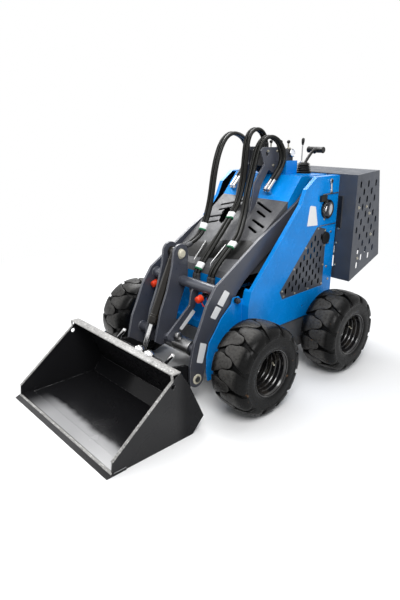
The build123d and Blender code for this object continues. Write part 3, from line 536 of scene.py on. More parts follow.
def paint(name, colour, rough, coat, texture=0.00004, grain=900.0, dirt=0.25,
          worn=(0.30, 0.30, 0.31), wear=0.35, radius=0.0022, dust=(0.20, 0.17, 0.13),
          gloss=0.3, painted_edge_highlight=0.0, speckle=0.0, painted_inner_shade=False):
    """Sprayed paint: orange peel, faint cloudiness, dust low down, rubbed edges, a painted
    highlight along the edges and painted shade on faces turned into the body.
    """
    recipe = Recipe(name)
    rounded = recipe.soft_edges(radius)
    cloud = recipe.between(recipe.noise(5.0, 4.0), 0.35, 0.7)
    tone = recipe.mix(cloud, darker(colour, 0.86), darker(colour, 1.08))
    if speckle:
        grit = recipe.noise(grain * 0.45, 3.0, 0.6)
        for start, end, share in ((0.42, 0.36, 0.35), (0.58, 0.64, 2.2)):
            spots = recipe.between(grit, start, end, 0.0, speckle)
            tone = recipe.mix(spots, tone, darker(colour, share))
    low_down = recipe.between(recipe.parts()["Z"], 0.45, 0.05)
    film = recipe.between(recipe.noise(14.0, 6.0, 0.7), 0.42, 0.75)
    tone = recipe.mix(recipe.product(low_down, film, dirt), tone, dust)
    edge = recipe.edges(rounded)
    chips = recipe.between(recipe.noise(60.0, 5.0, 0.7), 0.48, 0.62)
    tone = recipe.mix(recipe.product(edge, chips, wear), tone, worn)
    # painted highlight: the sharp edges are lightened all along towards the worn colour, for light
    # caught on the plate edges; the worn colour serves both the rubbed chips and this highlight
    if painted_edge_highlight:
        tone = recipe.mix(recipe.product(edge, painted_edge_highlight), tone, worn)
    # painted shade: faces turned into the body, undersides and the rear wall's front darkened
    # almost to black
    if painted_inner_shade:
        tone = recipe.mix(recipe.shaded_inner_faces(), tone, (0.004, 0.004, 0.005))
    dull = recipe.noise(20.0, 5.0, 0.6)
    recipe.set(
        Base_Color=tone, Specular_IOR_Level=gloss, Coat_Weight=coat, Coat_Roughness=0.12,
        Roughness=recipe.between(dull, 0.3, 0.75, rough * 0.8, rough * 1.35),
        Normal=recipe.bump(recipe.noise(grain, 2.0), texture, 0.6, rounded),
    )
    return recipe.material


def metal(name, colour, rough, texture=0.00003, grain=500.0, brushed=None, stain=0.2):
    """Bare or plated metal with faint stains, brushed where a scale is given."""
    recipe = Recipe(name)
    rounded = recipe.soft_edges(0.0012)
    place = recipe.stretched(brushed) if brushed else None
    grainy = recipe.noise(grain, 3.0, 0.6, place)
    patch = recipe.between(recipe.noise(18.0, 5.0, 0.65), 0.45, 0.75, 0.0, stain)
    tone = recipe.mix(patch, colour, darker(colour, 0.45))
    recipe.set(
        Base_Color=tone, Metallic=1.0,
        Roughness=recipe.between(grainy, 0.25, 0.75, rough * 0.75, rough * 1.4),
        Normal=recipe.bump(grainy, texture, 0.5, rounded),
    )
    return recipe.material


def moulded(name, colour, rough, texture=0.00006, grain=1200.0, dust_colour=(0.16, 0.15, 0.14),
            dust=0.12, gloss=0.3):
    """Moulded rubber or plastic with a fine grain and a film of dust."""
    recipe = Recipe(name)
    rounded = recipe.soft_edges(0.0015)
    grainy = recipe.noise(grain, 2.0, 0.6)
    film = recipe.between(recipe.noise(11.0, 6.0, 0.7), 0.45, 0.8, 0.0, dust)
    recipe.set(
        Base_Color=recipe.mix(film, colour, dust_colour),
        Roughness=recipe.between(recipe.noise(35.0, 4.0), 0.3, 0.7, rough * 0.85, rough * 1.2),
        Specular_IOR_Level=gloss,
        Normal=recipe.bump(grainy, texture, 0.7, rounded),
    )
    return recipe.material


def hose_cover():
    """Woven hose sleeve, its pattern following the hose's own UV map."""
    recipe = Recipe("hose_sleeve")
    along = recipe.node("ShaderNodeUVMap").outputs["UV"]
    ribs = recipe.node(
        "ShaderNodeTexWave",
        {"Vector": recipe.stretched((150.0, 3.0, 1.0), along), "Scale": 1.0,
         "Distortion": 0.6, "Detail": 2.0},
        bands_direction="DIAGONAL",
    ).outputs["Fac"]
    film = recipe.between(recipe.noise(16.0, 6.0, 0.7), 0.5, 0.8, 0.0, 0.16)
    recipe.set(
        Base_Color=recipe.mix(film, (0.006, 0.006, 0.005), (0.060, 0.056, 0.046)),
        Roughness=recipe.between(ribs, 0.0, 1.0, 0.36, 0.24), Specular_IOR_Level=0.20,
        Normal=recipe.bump(ribs, 0.0004, 0.5),
    )
    return recipe.material


def tread_rubber():
    """Tyre rubber: grey worn bar tops, black flanks and a few crumbs of soil."""
    recipe = Recipe("tread_rubber")
    worn = recipe.node("ShaderNodeAttribute", attribute_name="wear").outputs["Fac"]
    scuff = recipe.noise(70.0, 6.0, 0.7)
    patch = recipe.between(recipe.noise(7.0, 3.0, 0.5), 0.35, 0.65, 0.45, 1.0)
    top = recipe.product(worn, recipe.between(scuff, 0.25, 0.6, 0.35, 1.0), patch)
    tone = recipe.mix(top, tuple(colours().rubber), tuple(colours().worn_rubber))
    fleck = recipe.between(recipe.noise(38.0, 3.0, 0.5), 0.71, 0.76)
    soil = recipe.mix(fleck, tone, (0.085, 0.045, 0.022))
    recipe.set(
        Base_Color=soil,
        Roughness=recipe.between(scuff, 0.3, 0.7, 0.20, 0.44), Specular_IOR_Level=0.10,
        Normal=recipe.bump(recipe.noise(190.0, 4.0, 0.65), 0.0005, 0.6, recipe.soft_edges(0.002)),
    )
    return recipe.material


def bucket_paint():
    """Black bucket paint: long scratches, scuffed edges and a painted reflection on the floor in
    front.
    """
    recipe = Recipe("bucket_black")
    place = recipe.parts()
    # painted reflection: a pale patch with a ragged rear edge on the floor's front part, for the
    # bright surroundings reflected in the glossy floor
    ragged = recipe.product(recipe.noise(9.0, 4.0, 0.6), 0.05)
    floor_reflection = recipe.product(
        recipe.between(recipe.math("ADD", place["Y"], ragged), -0.805, -0.845),
        recipe.between(place["Y"], -0.958, -0.950),
        recipe.between(place["X"], -0.38, -0.14),
        recipe.math("LESS_THAN", place["Z"], 0.03),
        recipe.math("GREATER_THAN", recipe.facing()["Z"], 0.9),
    )
    rounded = recipe.soft_edges(0.003)
    streak = recipe.noise(26.0, 6.0, 0.7, recipe.stretched((1.0, 9.0, 6.0)))
    scratches = recipe.product(recipe.between(streak, 0.58, 0.66), 0.10)
    tone = recipe.mix(scratches, tuple(colours().bucket), (0.08, 0.08, 0.085))
    rubbed = recipe.between(recipe.noise(45.0, 5.0, 0.7), 0.42, 0.58)
    tone = recipe.mix(recipe.product(recipe.edges(rounded), rubbed, 0.8), tone, (0.36, 0.36, 0.36))
    # the painted reflection laid over the floor patch
    tone = recipe.mix(recipe.product(floor_reflection, 0.9), tone, (0.30, 0.30, 0.305))
    recipe.set(
        Base_Color=tone,
        Roughness=recipe.between(recipe.noise(5.0, 4.0, 0.55), 0.3, 0.75, 0.16, 0.30),
        Specular_IOR_Level=recipe.between(place["Y"], -0.64, -0.56, 0.24, 0.06),
        Normal=recipe.bump(recipe.noise(60.0, 3.0, 0.5), 0.0002, 0.35, rounded),
    )
    return recipe.material


# The carried-over solids that wear each finish

DRESSED = {
    "blue": "cowl console front_panel rear_wall side_panel_left side_panel_right",
    "arm_grey": "arm_left arm_right inner_plates strut mast cross_tubes",
    "hood_grey": "hood guard_strip",
    "guard_dark": "rear_guard side_grille_left side_grille_right",
    "frame_black": "main_frame engine_shelf port_blocks",
    "cylinder_black": "tilt_barrel lift_barrel_left lift_barrel_right",
    "bucket": "bucket_shell bucket_sides cutting_edge coupler",
    "steel": "lift_pins lift_base_pins bucket_pins",
    "bright": "tilt_rod lift_rod_left lift_rod_right",
    "chrome": "cowl_fittings quick_couplers side_latch",
    "plastic": "side_fittings valve_knobs side_lamp t_handle lever",
    "boot": "joystick_boot",
    "cast": "valve_block wheel_motors",
    "alloy": "engine",
    "red": "coupler_caps",
}


class LOADER_OT_finishes(bpy.types.Operator):
    """Makes the finishes and gives each carried-over solid its own"""

    bl_idname = "loader.finishes"
    bl_label = "Finishes"

    def execute(self, context):
        tints = colours()
        FINISH.update({
            # blue: its pale blue worn colour also serves as a painted highlight along the folded
            # edges, and its inner faces get painted shade
            "blue": paint("blue_paint", tuple(tints.body), 0.24, 0.06, dirt=0.14, wear=0.25,
                          worn=(0.20, 0.48, 0.80), painted_edge_highlight=0.35, gloss=0.20, painted_inner_shade=True),
            # arm grey: its worn colour also serves as a painted highlight along the plate edges
            "arm_grey": paint("arm_grey", tuple(tints.arms), 0.34, 0.12, 0.00006, dirt=0.35,
                              wear=0.4, worn=(0.40, 0.41, 0.44), radius=0.004, painted_edge_highlight=0.55,
                              gloss=0.4),
            # guard: painted highlight along the edges
            "guard_dark": paint("guard_dark", tuple(tints.guard), 0.40, 0.1, 0.00008, 700.0,
                                wear=0.25, painted_edge_highlight=0.35, gloss=0.45),
            # hood: painted shade on its inner faces
            "hood_grey": paint("hood_grey", tuple(tints.hood), 0.48, 0.05, 0.00022, 420.0,
                               dirt=0.1, wear=0.3, worn=(0.5, 0.5, 0.5), speckle=0.5,
                               painted_inner_shade=True),
            "frame_black": paint("frame_black", (0.095, 0.102, 0.115), 0.45, 0.05, dirt=0.6),
            "rim_black": paint("rim_black", (0.005, 0.005, 0.006), 0.20, 0.4, dirt=0.15, wear=0.2,
                               gloss=0.5),
            "cylinder_black": paint("cylinder_black", (0.010, 0.008, 0.006), 0.20, 0.1,
                                    worn=(0.35, 0.25, 0.14), wear=0.5, dirt=0.2, gloss=0.28),
            "bucket": bucket_paint(),
            "worn_steel": paint("worn_rim_steel", (0.30, 0.295, 0.285), 0.42, 0.0, 0.0003, 260.0,
                                worn=(0.60, 0.59, 0.56), wear=0.8, dirt=0.3,
                                dust=(0.09, 0.08, 0.07), speckle=0.9),
            "tread": tread_rubber(),
            "sleeve": hose_cover(),
            "chrome": metal("chrome", (0.50, 0.50, 0.51), 0.13, 0.00002, stain=0.35),
            "bright": metal("bright_rod", (0.74, 0.74, 0.74), 0.16, 0.00001, stain=0.15),
            "zinc": metal("zinc_plate", (0.46, 0.44, 0.38), 0.30, stain=0.45),
            "steel": metal("brushed_steel", (0.34, 0.34, 0.34), 0.34, 0.00006, 120.0,
                           (1.0, 14.0, 14.0), stain=0.5),
            "cast": paint("cast_grey", (0.030, 0.031, 0.035), 0.46, 0.0, 0.0003, 260.0, dirt=0.3,
                          wear=0.6, gloss=0.4),
            "alloy": metal("engine_alloy", (0.22, 0.22, 0.21), 0.42, 0.00025, 300.0, stain=0.5),
            "plastic": moulded("black_plastic", (0.006, 0.006, 0.006), 0.36),
            "boot": moulded("boot_rubber", (0.005, 0.005, 0.005), 0.40, dust=0.06),
            "white": moulded("white_plate", (0.76, 0.76, 0.76), 0.35, 0.00002, dust=0.05),
            "cream": moulded("cream_cap", (0.56, 0.53, 0.42), 0.36, 0.00003, dust=0.25,
                             dust_colour=(0.20, 0.18, 0.13)),
            "green": moulded("green_ring", (0.002, 0.120, 0.045), 0.40, dust=0.05),
            "red": moulded("red_rubber", (0.74, 0.040, 0.006), 0.42, 0.00003, dust=0.06,
                           dust_colour=(0.35, 0.08, 0.04)),
            "lens": moulded("lamp_lens", (0.004, 0.004, 0.005), 0.08, 0.00001, dust=0.04,
                            gloss=0.5),
        })
        for finish, nodes in DRESSED.items():
            for node in nodes.split():
                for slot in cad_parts[node].material_slots:
                    slot.material = FINISH[finish]
        return {"FINISHED"}


# Wheels


def tread_bar(mirror):
    """One tread bar, from the side wall over the shoulder and past the middle of the tread."""
    line = (
        (0.2145, 0.1740, 0.0000, 0.0400), (0.2135, 0.1900, 0.0000, 0.0450),
        (0.2085, 0.2040, 0.0030, 0.0485), (0.1980, 0.2140, 0.0080, 0.0505),
        (0.1800, 0.2205, 0.0160, 0.0500), (0.1580, 0.2248, 0.0240, 0.0470),
        (0.1370, 0.2270, 0.0290, 0.0385), (0.1280, 0.2277, 0.0300, 0.0325),
        (0.1150, 0.2282, 0.0310, 0.0285), (0.0980, 0.2280, 0.0318, 0.0260),
        (0.0860, 0.2274, 0.0322, 0.0215), (0.0790, 0.2268, 0.0322, 0.0140),
    )
    across = 4
    row = across + 1
    hold()
    bpy.ops.mesh.primitive_grid_add(x_subdivisions=len(line) - 1, y_subdivisions=across, size=1.0)
    piece = added("tread_bar")
    vertices = sorted(piece.data.vertices, key=lambda v: (round(v.co.x, 4), round(v.co.y, 4)))
    for number, vertex in enumerate(vertices):
        u, radius, drift, half = line[number // row]
        side = (number % row) / across * 2 - 1
        angle = (drift + side * half) / AXLE_HEIGHT
        if number // row == len(line) - 1:
            u -= 0.005 * (1 - side * side)
        if mirror:
            u = TYRE_WIDTH - u
        vertex.co = (u, radius * math.sin(angle), radius * math.cos(angle))
    edit(piece)
    bpy.ops.mesh.normals_make_consistent(inside=False)
    close()
    middle = piece.data.polygons[len(piece.data.polygons) // 2]
    if middle.normal.z < 0:
        piece.data.flip_normals()
    thickness = sizes().bar_depth + 0.006
    apply(piece, "SOLIDIFY", thickness=thickness, offset=-1.0, use_even_offset=False)
    return round_edges(piece, 0.0028, 2, 50.0)


def casing():
    """The tyre's casing, spun round the axle: bulged walls, ribs by the bead, a low crown."""
    outer = [
        (0.1085, 0.0140), (0.1120, 0.0085), (0.1180, 0.0060), (0.1215, 0.0066), (0.1250, 0.0040),
        (0.1380, 0.0018), (0.1560, 0.0008), (0.1740, 0.0022), (0.1780, 0.0012), (0.1830, 0.0048),
        (0.1950, 0.0110), (0.2030, 0.0210), (0.2075, 0.0380), (0.2105, 0.0650), (0.2120, 0.1080),
    ]
    profile = outer + [(radius, TYRE_WIDTH - x) for radius, x in reversed(outer[:-1])]
    profile += [(0.1085, 0.1900), (0.1085, 0.0260)]
    return turned("casing", profile, 96)


def on_wheels(name, piece, finish, stands="", angle=30.0):
    """Sets copies of a piece built round +Z on the wheels' axles, their far ends outwards."""
    for place, side, axle_y in WHEELS:
        axle = Matrix.Translation((side * TYRE_INNER_X, axle_y, AXLE_HEIGHT))
        outward = Matrix(((0, 0, side), (1, 0, 0), (0, side, 0))).to_4x4()
        copy = copied(piece, axle @ outward)[0]
        added(f"{name}_{place}")
        replaced = [f"{stands}_{place}"] if stands else ()
        done(copy, f"wheel_{place}", finish, replaced, angle)
    remove(piece)


class LOADER_OT_tyres(bpy.types.Operator):
    """Builds one lug tyre and sets a copy of it on each wheel"""

    bl_idname = "loader.tyres"
    bl_label = "Tyres"

    def execute(self, context):
        upright = Matrix(((0, 1, 0), (0, 0, 1), (1, 0, 0))).to_4x4()
        parts = [casing()]
        for mirror, lead in ((False, 0.0), (True, 0.5)):
            bar = tread_bar(mirror)
            bar.data.transform(upright)
            parts += repeated(bar, turns(sizes().tread_bars, lead))
        tyre = joined("tyre", parts)
        wear = tyre.data.attributes.new("wear", "FLOAT", "POINT")
        middle = TYRE_WIDTH / 2
        for vertex in tyre.data.vertices:
            crown = TREAD_RADIUS - 0.010 * (abs(vertex.co.z - middle) / middle) ** 3
            radius = math.hypot(vertex.co.x, vertex.co.y)
            wear.data[vertex.index].value = 1.0 if radius > crown - 0.0022 else 0.0
        on_wheels("lug_tyre", tyre, "tread", "tyre", 40.0)
        return {"FINISHED"}


class LOADER_OT_rims(bpy.types.Operator):
    """Builds the ribbed rim with its nuts, hub cap and valve, and sets a copy in each tyre"""

    bl_idname = "loader.rims"
    bl_label = "Rims"

    def execute(self, context):
        shell = turned("rim_shell", [
            (0.1160, 0.2070), (0.1172, 0.2090), (0.1150, 0.2105), (0.1120, 0.2070),
            (0.1075, 0.2010), (0.1040, 0.1960), (0.1030, 0.1760), (0.1000, 0.1720),
            (0.0990, 0.1540), (0.0960, 0.1500), (0.0950, 0.1320), (0.0920, 0.1280),
            (0.0910, 0.1080), (0.0880, 0.1040), (0.0870, 0.0800), (0.0830, 0.0740),
            (0.0700, 0.0720), (0.0640, 0.0700), (0.0600, 0.0780), (0.0420, 0.0800),
            (0.0400, 0.0740), (0.0190, 0.0740), (0.0190, 0.0640), (0.0800, 0.0620),
            (0.0850, 0.0620), (0.1020, 0.0500), (0.1020, 0.0160), (0.1070, 0.0140),
            (0.1070, 0.1960),
        ], 72)
        round_edges(shell, 0.0008, 2, 25.0)
        nut = bolt("wheel_nut", (0.051, 0, 0.079), (0, 0, 1), 0.019, 0.012)
        cap = turned("hub_cap", [
            (0.0, 0.076), (0.030, 0.076), (0.031, 0.090), (0.027, 0.094), (0.020, 0.095),
            (0.018, 0.104), (0.014, 0.107), (0.0, 0.108),
        ], 32)
        valve = rod("valve_stem", (0.090, 0, 0.135), (0.074, 0, 0.160), 0.0040, 0.001, 12, 0.0032)
        trim = joined("hub_trim", repeated(nut, turns(5)) + [cap])
        on_wheels("ribbed_rim", shell, "rim_black", "rim")
        on_wheels("hub_nuts", trim, "zinc")
        on_wheels("tyre_valve", valve, "cream")
        return {"FINISHED"}


# Sheet metal


class LOADER_OT_grilles(bpy.types.Operator):
    """Fixes the side grilles' bolts"""

    bl_idname = "loader.grilles"
    bl_label = "Side grilles"

    def execute(self, context):
        heads = [bolt("grille_bolt", (POD_FACE_X, y, z), LEFTWARD, 0.010) for y, z in (
            (0.496, 0.792), (0.566, 0.774), (0.569, 0.690), (0.570, 0.575), (0.568, 0.463),
            (0.440, 0.458), (0.320, 0.457), (0.222, 0.458), (0.206, 0.492), (0.298, 0.597),
            (0.392, 0.699),
        )]
        both_sides("grille_bolts", heads, "chassis", "zinc")
        return {"FINISHED"}


class LOADER_OT_guard(bpy.types.Operator):
    """Fixes the bolts on the engine guard's sides and on its front flanges"""

    bl_idname = "loader.guard"
    bl_label = "Engine guard"

    def execute(self, context):
        low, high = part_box("rear_guard")
        heads = [bolt("guard_bolt", (high.x, y, z), LEFTWARD, 0.013, 0.005) for y, z in (
            (0.705, 0.898), (0.785, 0.898), (0.825, 0.856), (0.745, 0.604), (0.865, 0.730),
        )]
        for x, z in ((0.337, 0.775), (0.330, 0.690), (0.333, 0.560)):
            heads.append(bolt("wing_bolt", (x, low.y + 0.004, z), (0, -1, 0)))
        both_sides("guard_bolts", heads, "chassis", "zinc")
        return {"FINISHED"}


# Hydraulics: each pair's spacing and its first hose's control points

HOSES = {
    "tilt": (0.024, (
        (-0.180, 0.391, 1.071), (-0.180, 0.426, 1.108), (-0.177, 0.436, 1.160),
        (-0.164, 0.414, 1.215), (-0.142, 0.360, 1.258), (-0.118, 0.290, 1.282),
        (-0.102, 0.216, 1.291), (-0.092, 0.152, 1.266), (-0.088, 0.104, 1.196),
        (-0.087, 0.072, 1.090), (-0.087, 0.050, 0.945), (-0.087, 0.010, 0.830),
        (-0.087, -0.024, 0.774), (-0.087, -0.0826, 0.7411), (-0.087, -0.138, 0.724),
    )),
    "aux": (0.023, (
        (-0.036, 0.420, 1.2003), (-0.036, 0.420, 1.243), (-0.036, 0.397, 1.290),
        (-0.036, 0.348, 1.313), (-0.036, 0.298, 1.300), (-0.036, 0.268, 1.256),
        (-0.036, 0.255, 1.150), (-0.036, 0.246, 1.020), (-0.034, 0.196, 0.905),
        (-0.015, 0.096, 0.820), (0.012, -0.014, 0.740), (0.018, -0.108, 0.655),
        (0.018, -0.150, 0.602), (0.018, -0.150, 0.5623),
    )),
    "lift": (0.024, (
        (0.076, 0.391, 1.071), (0.076, 0.428, 1.108), (0.076, 0.444, 1.156),
        (0.073, 0.438, 1.206), (0.060, 0.412, 1.252), (0.040, 0.370, 1.276),
        (0.020, 0.326, 1.256), (0.010, 0.300, 1.200), (0.008, 0.274, 1.100),
        (0.010, 0.234, 0.985), (0.052, 0.168, 0.884), (0.094, 0.098, 0.820),
        (0.126, 0.036, 0.772), (0.128, -0.050, 0.710), (0.128, -0.130, 0.644),
        (0.128, -0.152, 0.598), (0.128, -0.152, 0.5623),
    )),
}
SLEEVE_MARKS = {"tilt": (0.845,), "aux": (0.605, 0.925), "lift": (0.79,)}
FERRULE = 0.040
FERRULE_SHARE = 0.03
FITTING_FOOT = (0.316, 0.994)
CUFF_SHARE = 0.36
COWL_PORTS_BELOW = 1.1


def spline_of(name, points, thickness):
    """A curve of one smooth spline, drawn by its control points."""
    curve = bpy.data.curves.new(name, "CURVE")
    curve.dimensions = "3D"
    curve.resolution_u = 10
    curve.bevel_depth = thickness
    curve.bevel_resolution = 4
    curve.use_fill_caps = thickness > 0
    spline = curve.splines.new("NURBS")
    spline.points.add(len(points) - 1)
    for point, place in zip(spline.points, points):
        point.co = (*place, 1.0)
    spline.order_u = 3
    spline.use_endpoint_u = True
    piece = bpy.data.objects.new(name, curve)
    bpy.context.scene.collection.objects.link(piece)
    return piece


def tube(name, points, radius):
    """A round tube along a smooth curve, made a mesh."""
    piece = spline_of(name, points, radius)
    hold(piece)
    bpy.ops.object.convert(target="MESH")
    return piece


def line_of(points):
    """Points along the hose's own spline, read from the curve."""
    bare = spline_of("hose_line", points, 0.0)
    bpy.context.view_layer.update()
    mesh = bpy.data.meshes.new_from_object(bare)
    line = [vertex.co.copy() for vertex in mesh.vertices]
    remove(bare)
    return line


def at_share(line, share):
    """The point and direction at a share of the line's length."""
    lengths = [(b - a).length for a, b in zip(line, line[1:])]
    left = share * sum(lengths)
    for start, end, length in zip(line, line[1:], lengths):
        if left <= length:
            return start.lerp(end, left / length), (end - start).normalized()
        left -= length
    return line[-1].copy(), (line[-1] - line[-2]).normalized()


def ferrule(start, end, radius):
    """A crimped ferrule with its swivel nut, from the fitting at start along the hose."""
    profile = [(0.0, 0.010), (radius * 0.8, 0.010)]
    for ring in range(3):
        step = 0.014 + ring * 0.0070
        profile += [
            (radius * 1.28, step), (radius * 1.28, step + 0.0042), (radius * 1.18, step + 0.0052),
        ]
    profile += [(radius * 1.22, FERRULE - 0.002), (radius * 1.05, FERRULE), (0.0, FERRULE)]
    sleeve = turned("ferrule", profile, 24, start, end)
    hold()
    bpy.ops.mesh.primitive_cylinder_add(vertices=6, radius=radius * 1.5, depth=0.012)
    nut = added("ferrule_nut")
    nut.data.transform(Matrix.Translation((0, 0, 0.006)))
    round_edges(nut, 0.0012, 2)
    return joined("ferrule", [sleeve, aim(nut, start, end)])


def cuffs_of(line, radius):
    """The two moulded cuffs of a hose on the cowl: along its fitting and over its first bend."""
    foot = Vector((line[0].x, *FITTING_FOOT))
    low = line[0].lerp(foot, CUFF_SHARE)
    bend = line[0] + (low - line[0]).normalized() * 0.004
    ends = ((low, line[0]), (bend, at_share(line, CUFF_SHARE * 0.1)[0]))
    return [rod("cuff", start, end, radius * 1.17, 0.0015, 20) for start, end in ends]


def oval_band(name, place, way, step, radius, length, wall=0.0022):
    """A sleeve wrapped round both hoses of a pair, centred at a place along them."""
    half = step.length / 2
    reach = radius + wall
    outline = []
    for k in range(9):
        angle = -math.pi / 2 + math.pi * k / 8
        outline.append((half + reach * math.cos(angle), reach * math.sin(angle)))
    outline += [(-u, -v) for u, v in outline]
    piece = plate(name, outline, "z", -length / 2, length / 2, 0.0014)
    across = step.normalized()
    across = (across - way * across.dot(way)).normalized()
    turn = Matrix((across, way.cross(across), way)).transposed().to_4x4()
    piece.data.transform(Matrix.Translation(place) @ turn)
    return piece


class LOADER_OT_hoses(bpy.types.Operator):
    """Runs the hose pairs with their cuffs, crimped ferrules and marker sleeves"""

    bl_idname = "loader.hoses"
    bl_label = "Hoses"

    def execute(self, context):
        radius = sizes().hose_radius
        for name, (spacing, points) in HOSES.items():
            covers, ends, marks, rings, cuffs = [], [], [], [], []
            step = Vector((spacing, 0.0, 0.0))
            for number in (0, 1):
                route = [Vector(point) + step * number for point in points]
                covers.append(tube("hose", route, radius))
                line = line_of(route)
                if route[0].z > COWL_PORTS_BELOW:
                    ends.append(ferrule(line[0], at_share(line, FERRULE_SHARE)[0], radius))
                else:
                    cuffs += cuffs_of(line, radius)
                ends.append(ferrule(line[-1], at_share(line, 1.0 - FERRULE_SHARE)[0], radius))
            line = line_of([Vector(point) + step / 2 for point in points])
            for share in SLEEVE_MARKS[name]:
                place, way = at_share(line, share)
                marks.append(oval_band("marker", place, way, step, radius, 0.034))
                beyond = place + way * 0.020
                rings.append(oval_band("ring", beyond, way, step, radius, 0.009, 0.0030))
            for kind, parts, slot, finish, stands in (
                ("hose_pair", covers, "hose_rubber", "sleeve", [f"hoses_{name}"]),
                ("ferrules", ends, "cast", "cast", ()),
                ("markers", marks, "hose_rubber", "white", ()),
                ("marker_rings", rings, "hose_rubber", "green", ()),
            ):
                piece = fit(f"{kind}_{name}", parts, "", finish, stands)
                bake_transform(piece)
            if cuffs:
                fit(f"hose_cuffs_{name}", cuffs, "chassis", "plastic")
        return {"FINISHED"}


def over_hood(x, y, gap):
    """The point at a gap over the sloping hood's face."""
    return Vector((x, y, HOOD_TOP[1] - HOOD_SLOPE * (HOOD_TOP[0] - y) + gap))


class LOADER_OT_hood_fittings(bpy.types.Operator):
    """Lays a thin near-black rubber sheet across the lower hood as painted shade, and the hoses'
    two guide rods
    """

    bl_idname = "loader.hood_fittings"
    bl_label = "Hood fittings"

    def execute(self, context):
        # painted shade: a thin dark sheet on the lower hood, where there is shade between the hoses
        shade_sheet = plate("hood_shade_sheet", [
            (-0.205, -0.030), (-0.110, -0.074), (0.020, -0.060), (0.215, -0.030), (0.226, -0.010),
            (0.226, 0.064), (0.200, 0.074), (0.060, 0.052), (-0.090, 0.014), (-0.200, 0.008),
        ], "z", 0.0, 0.0030, 0.001, 1)
        for vertex in shade_sheet.data.vertices:
            vertex.co = over_hood(vertex.co.x, vertex.co.y, vertex.co.z + 0.0004)
        done(shade_sheet, "chassis", "boot")
        guides = []
        for ends in (((-0.046, -0.096), (-0.070, 0.012)), ((0.078, -0.092), (0.078, 0.016))):
            low, high = [over_hood(x, y, 0.012) for x, y in ends]
            guides.append(rod("guide", low, high, 0.0030, 0.001, 12))
            for end in (low, high):
                foot = end - Vector((0.0, 0.0, 0.015))
                guides.append(rod("guide_post", foot, end, 0.0030, 0.0008, 12))
        fit("hose_guides", guides, "chassis", "bright")
        return {"FINISHED"}


class LOADER_OT_tilt_cylinder(bpy.types.Operator):
    """Adds the tilt cylinder's gland, weld rings, wiper and the bosses of its base pin"""

    bl_idname = "loader.tilt_cylinder"
    bl_label = "Tilt cylinder"

    def execute(self, context):
        base = Vector(TILT_BASE)
        way = (Vector(TILT_PIN) - base).normalized()
        rings = [rod("gland", base + way * start, base + way * end, size, 0.0015, 36)
                 for start, end, size in (
                     (0.040, 0.052, 0.0272), (0.342, 0.348, 0.0268), (0.352, 0.384, 0.0290),
                     (0.384, 0.392, 0.0240), (0.060, 0.064, 0.0262),
                 )]
        fit("tilt_gland", rings, "tilt_barrel", "cylinder_black")
        wiper = rod("tilt_wiper", base + way * 0.392, base + way * 0.396, 0.0180, 0.0012, 32)
        done(wiper, "tilt_barrel", "boot")
        near = sideways("clevis_boss", [
            (0.0, 0.0), (0.021, 0.0), (0.021, 0.012), (0.017, 0.016), (0.0, 0.017),
        ], 32, (-0.028, *TILT_BASE[1:]))
        keeper = plate("pin_keeper", [
            (-0.222, 0.716), (-0.216, 0.726), (-0.203, 0.730), (-0.190, 0.725), (-0.183, 0.712),
            (-0.186, 0.690), (-0.196, 0.677), (-0.210, 0.676), (-0.220, 0.686), (-0.224, 0.702),
        ], "x", -0.028, -0.023, 0.0012)
        fit("clevis_pin_head", [near, keeper], "arms", "cream")
        far = sideways("clevis_far_boss", [
            (0.0, 0.0), (0.030, 0.0), (0.030, 0.008), (0.026, 0.016), (0.014, 0.020), (0.0, 0.021),
        ], 36, (-0.122, *TILT_BASE[1:]), -1)
        done(far, "arms", "zinc")
        return {"FINISHED"}


# Arms, front fittings and coupler


def blank_plate(name, corners, x):
    """A thin blank plate on a side face, its corners cut."""
    points = []
    for k, corner in enumerate(corners):
        here = Vector(corner)
        for other in (corners[k - 1], corners[(k + 1) % len(corners)]):
            points.append(tuple(here + (Vector(other) - here).normalized() * 0.004))
    return plate(name, points, "x", x, x + 0.0008, 0.0002, 1)


def weld_ring(centre, way, radius, size):
    """A rippled fillet weld round a tube's end."""
    centre = Vector(centre)
    piece = sideways("weld", [
        (radius - 0.001, 0.0), (radius + size, 0.0), (radius + size * 0.75, size * 0.35),
        (radius + size * 0.3, size * 0.8), (radius - 0.001, size),
    ], 60, centre, way)
    for vertex in piece.data.vertices:
        spoke = vertex.co - centre
        angle = math.atan2(spoke.z, spoke.y)
        vertex.co += spoke.normalized() * 0.0004 * math.sin(angle * 30)
    return piece


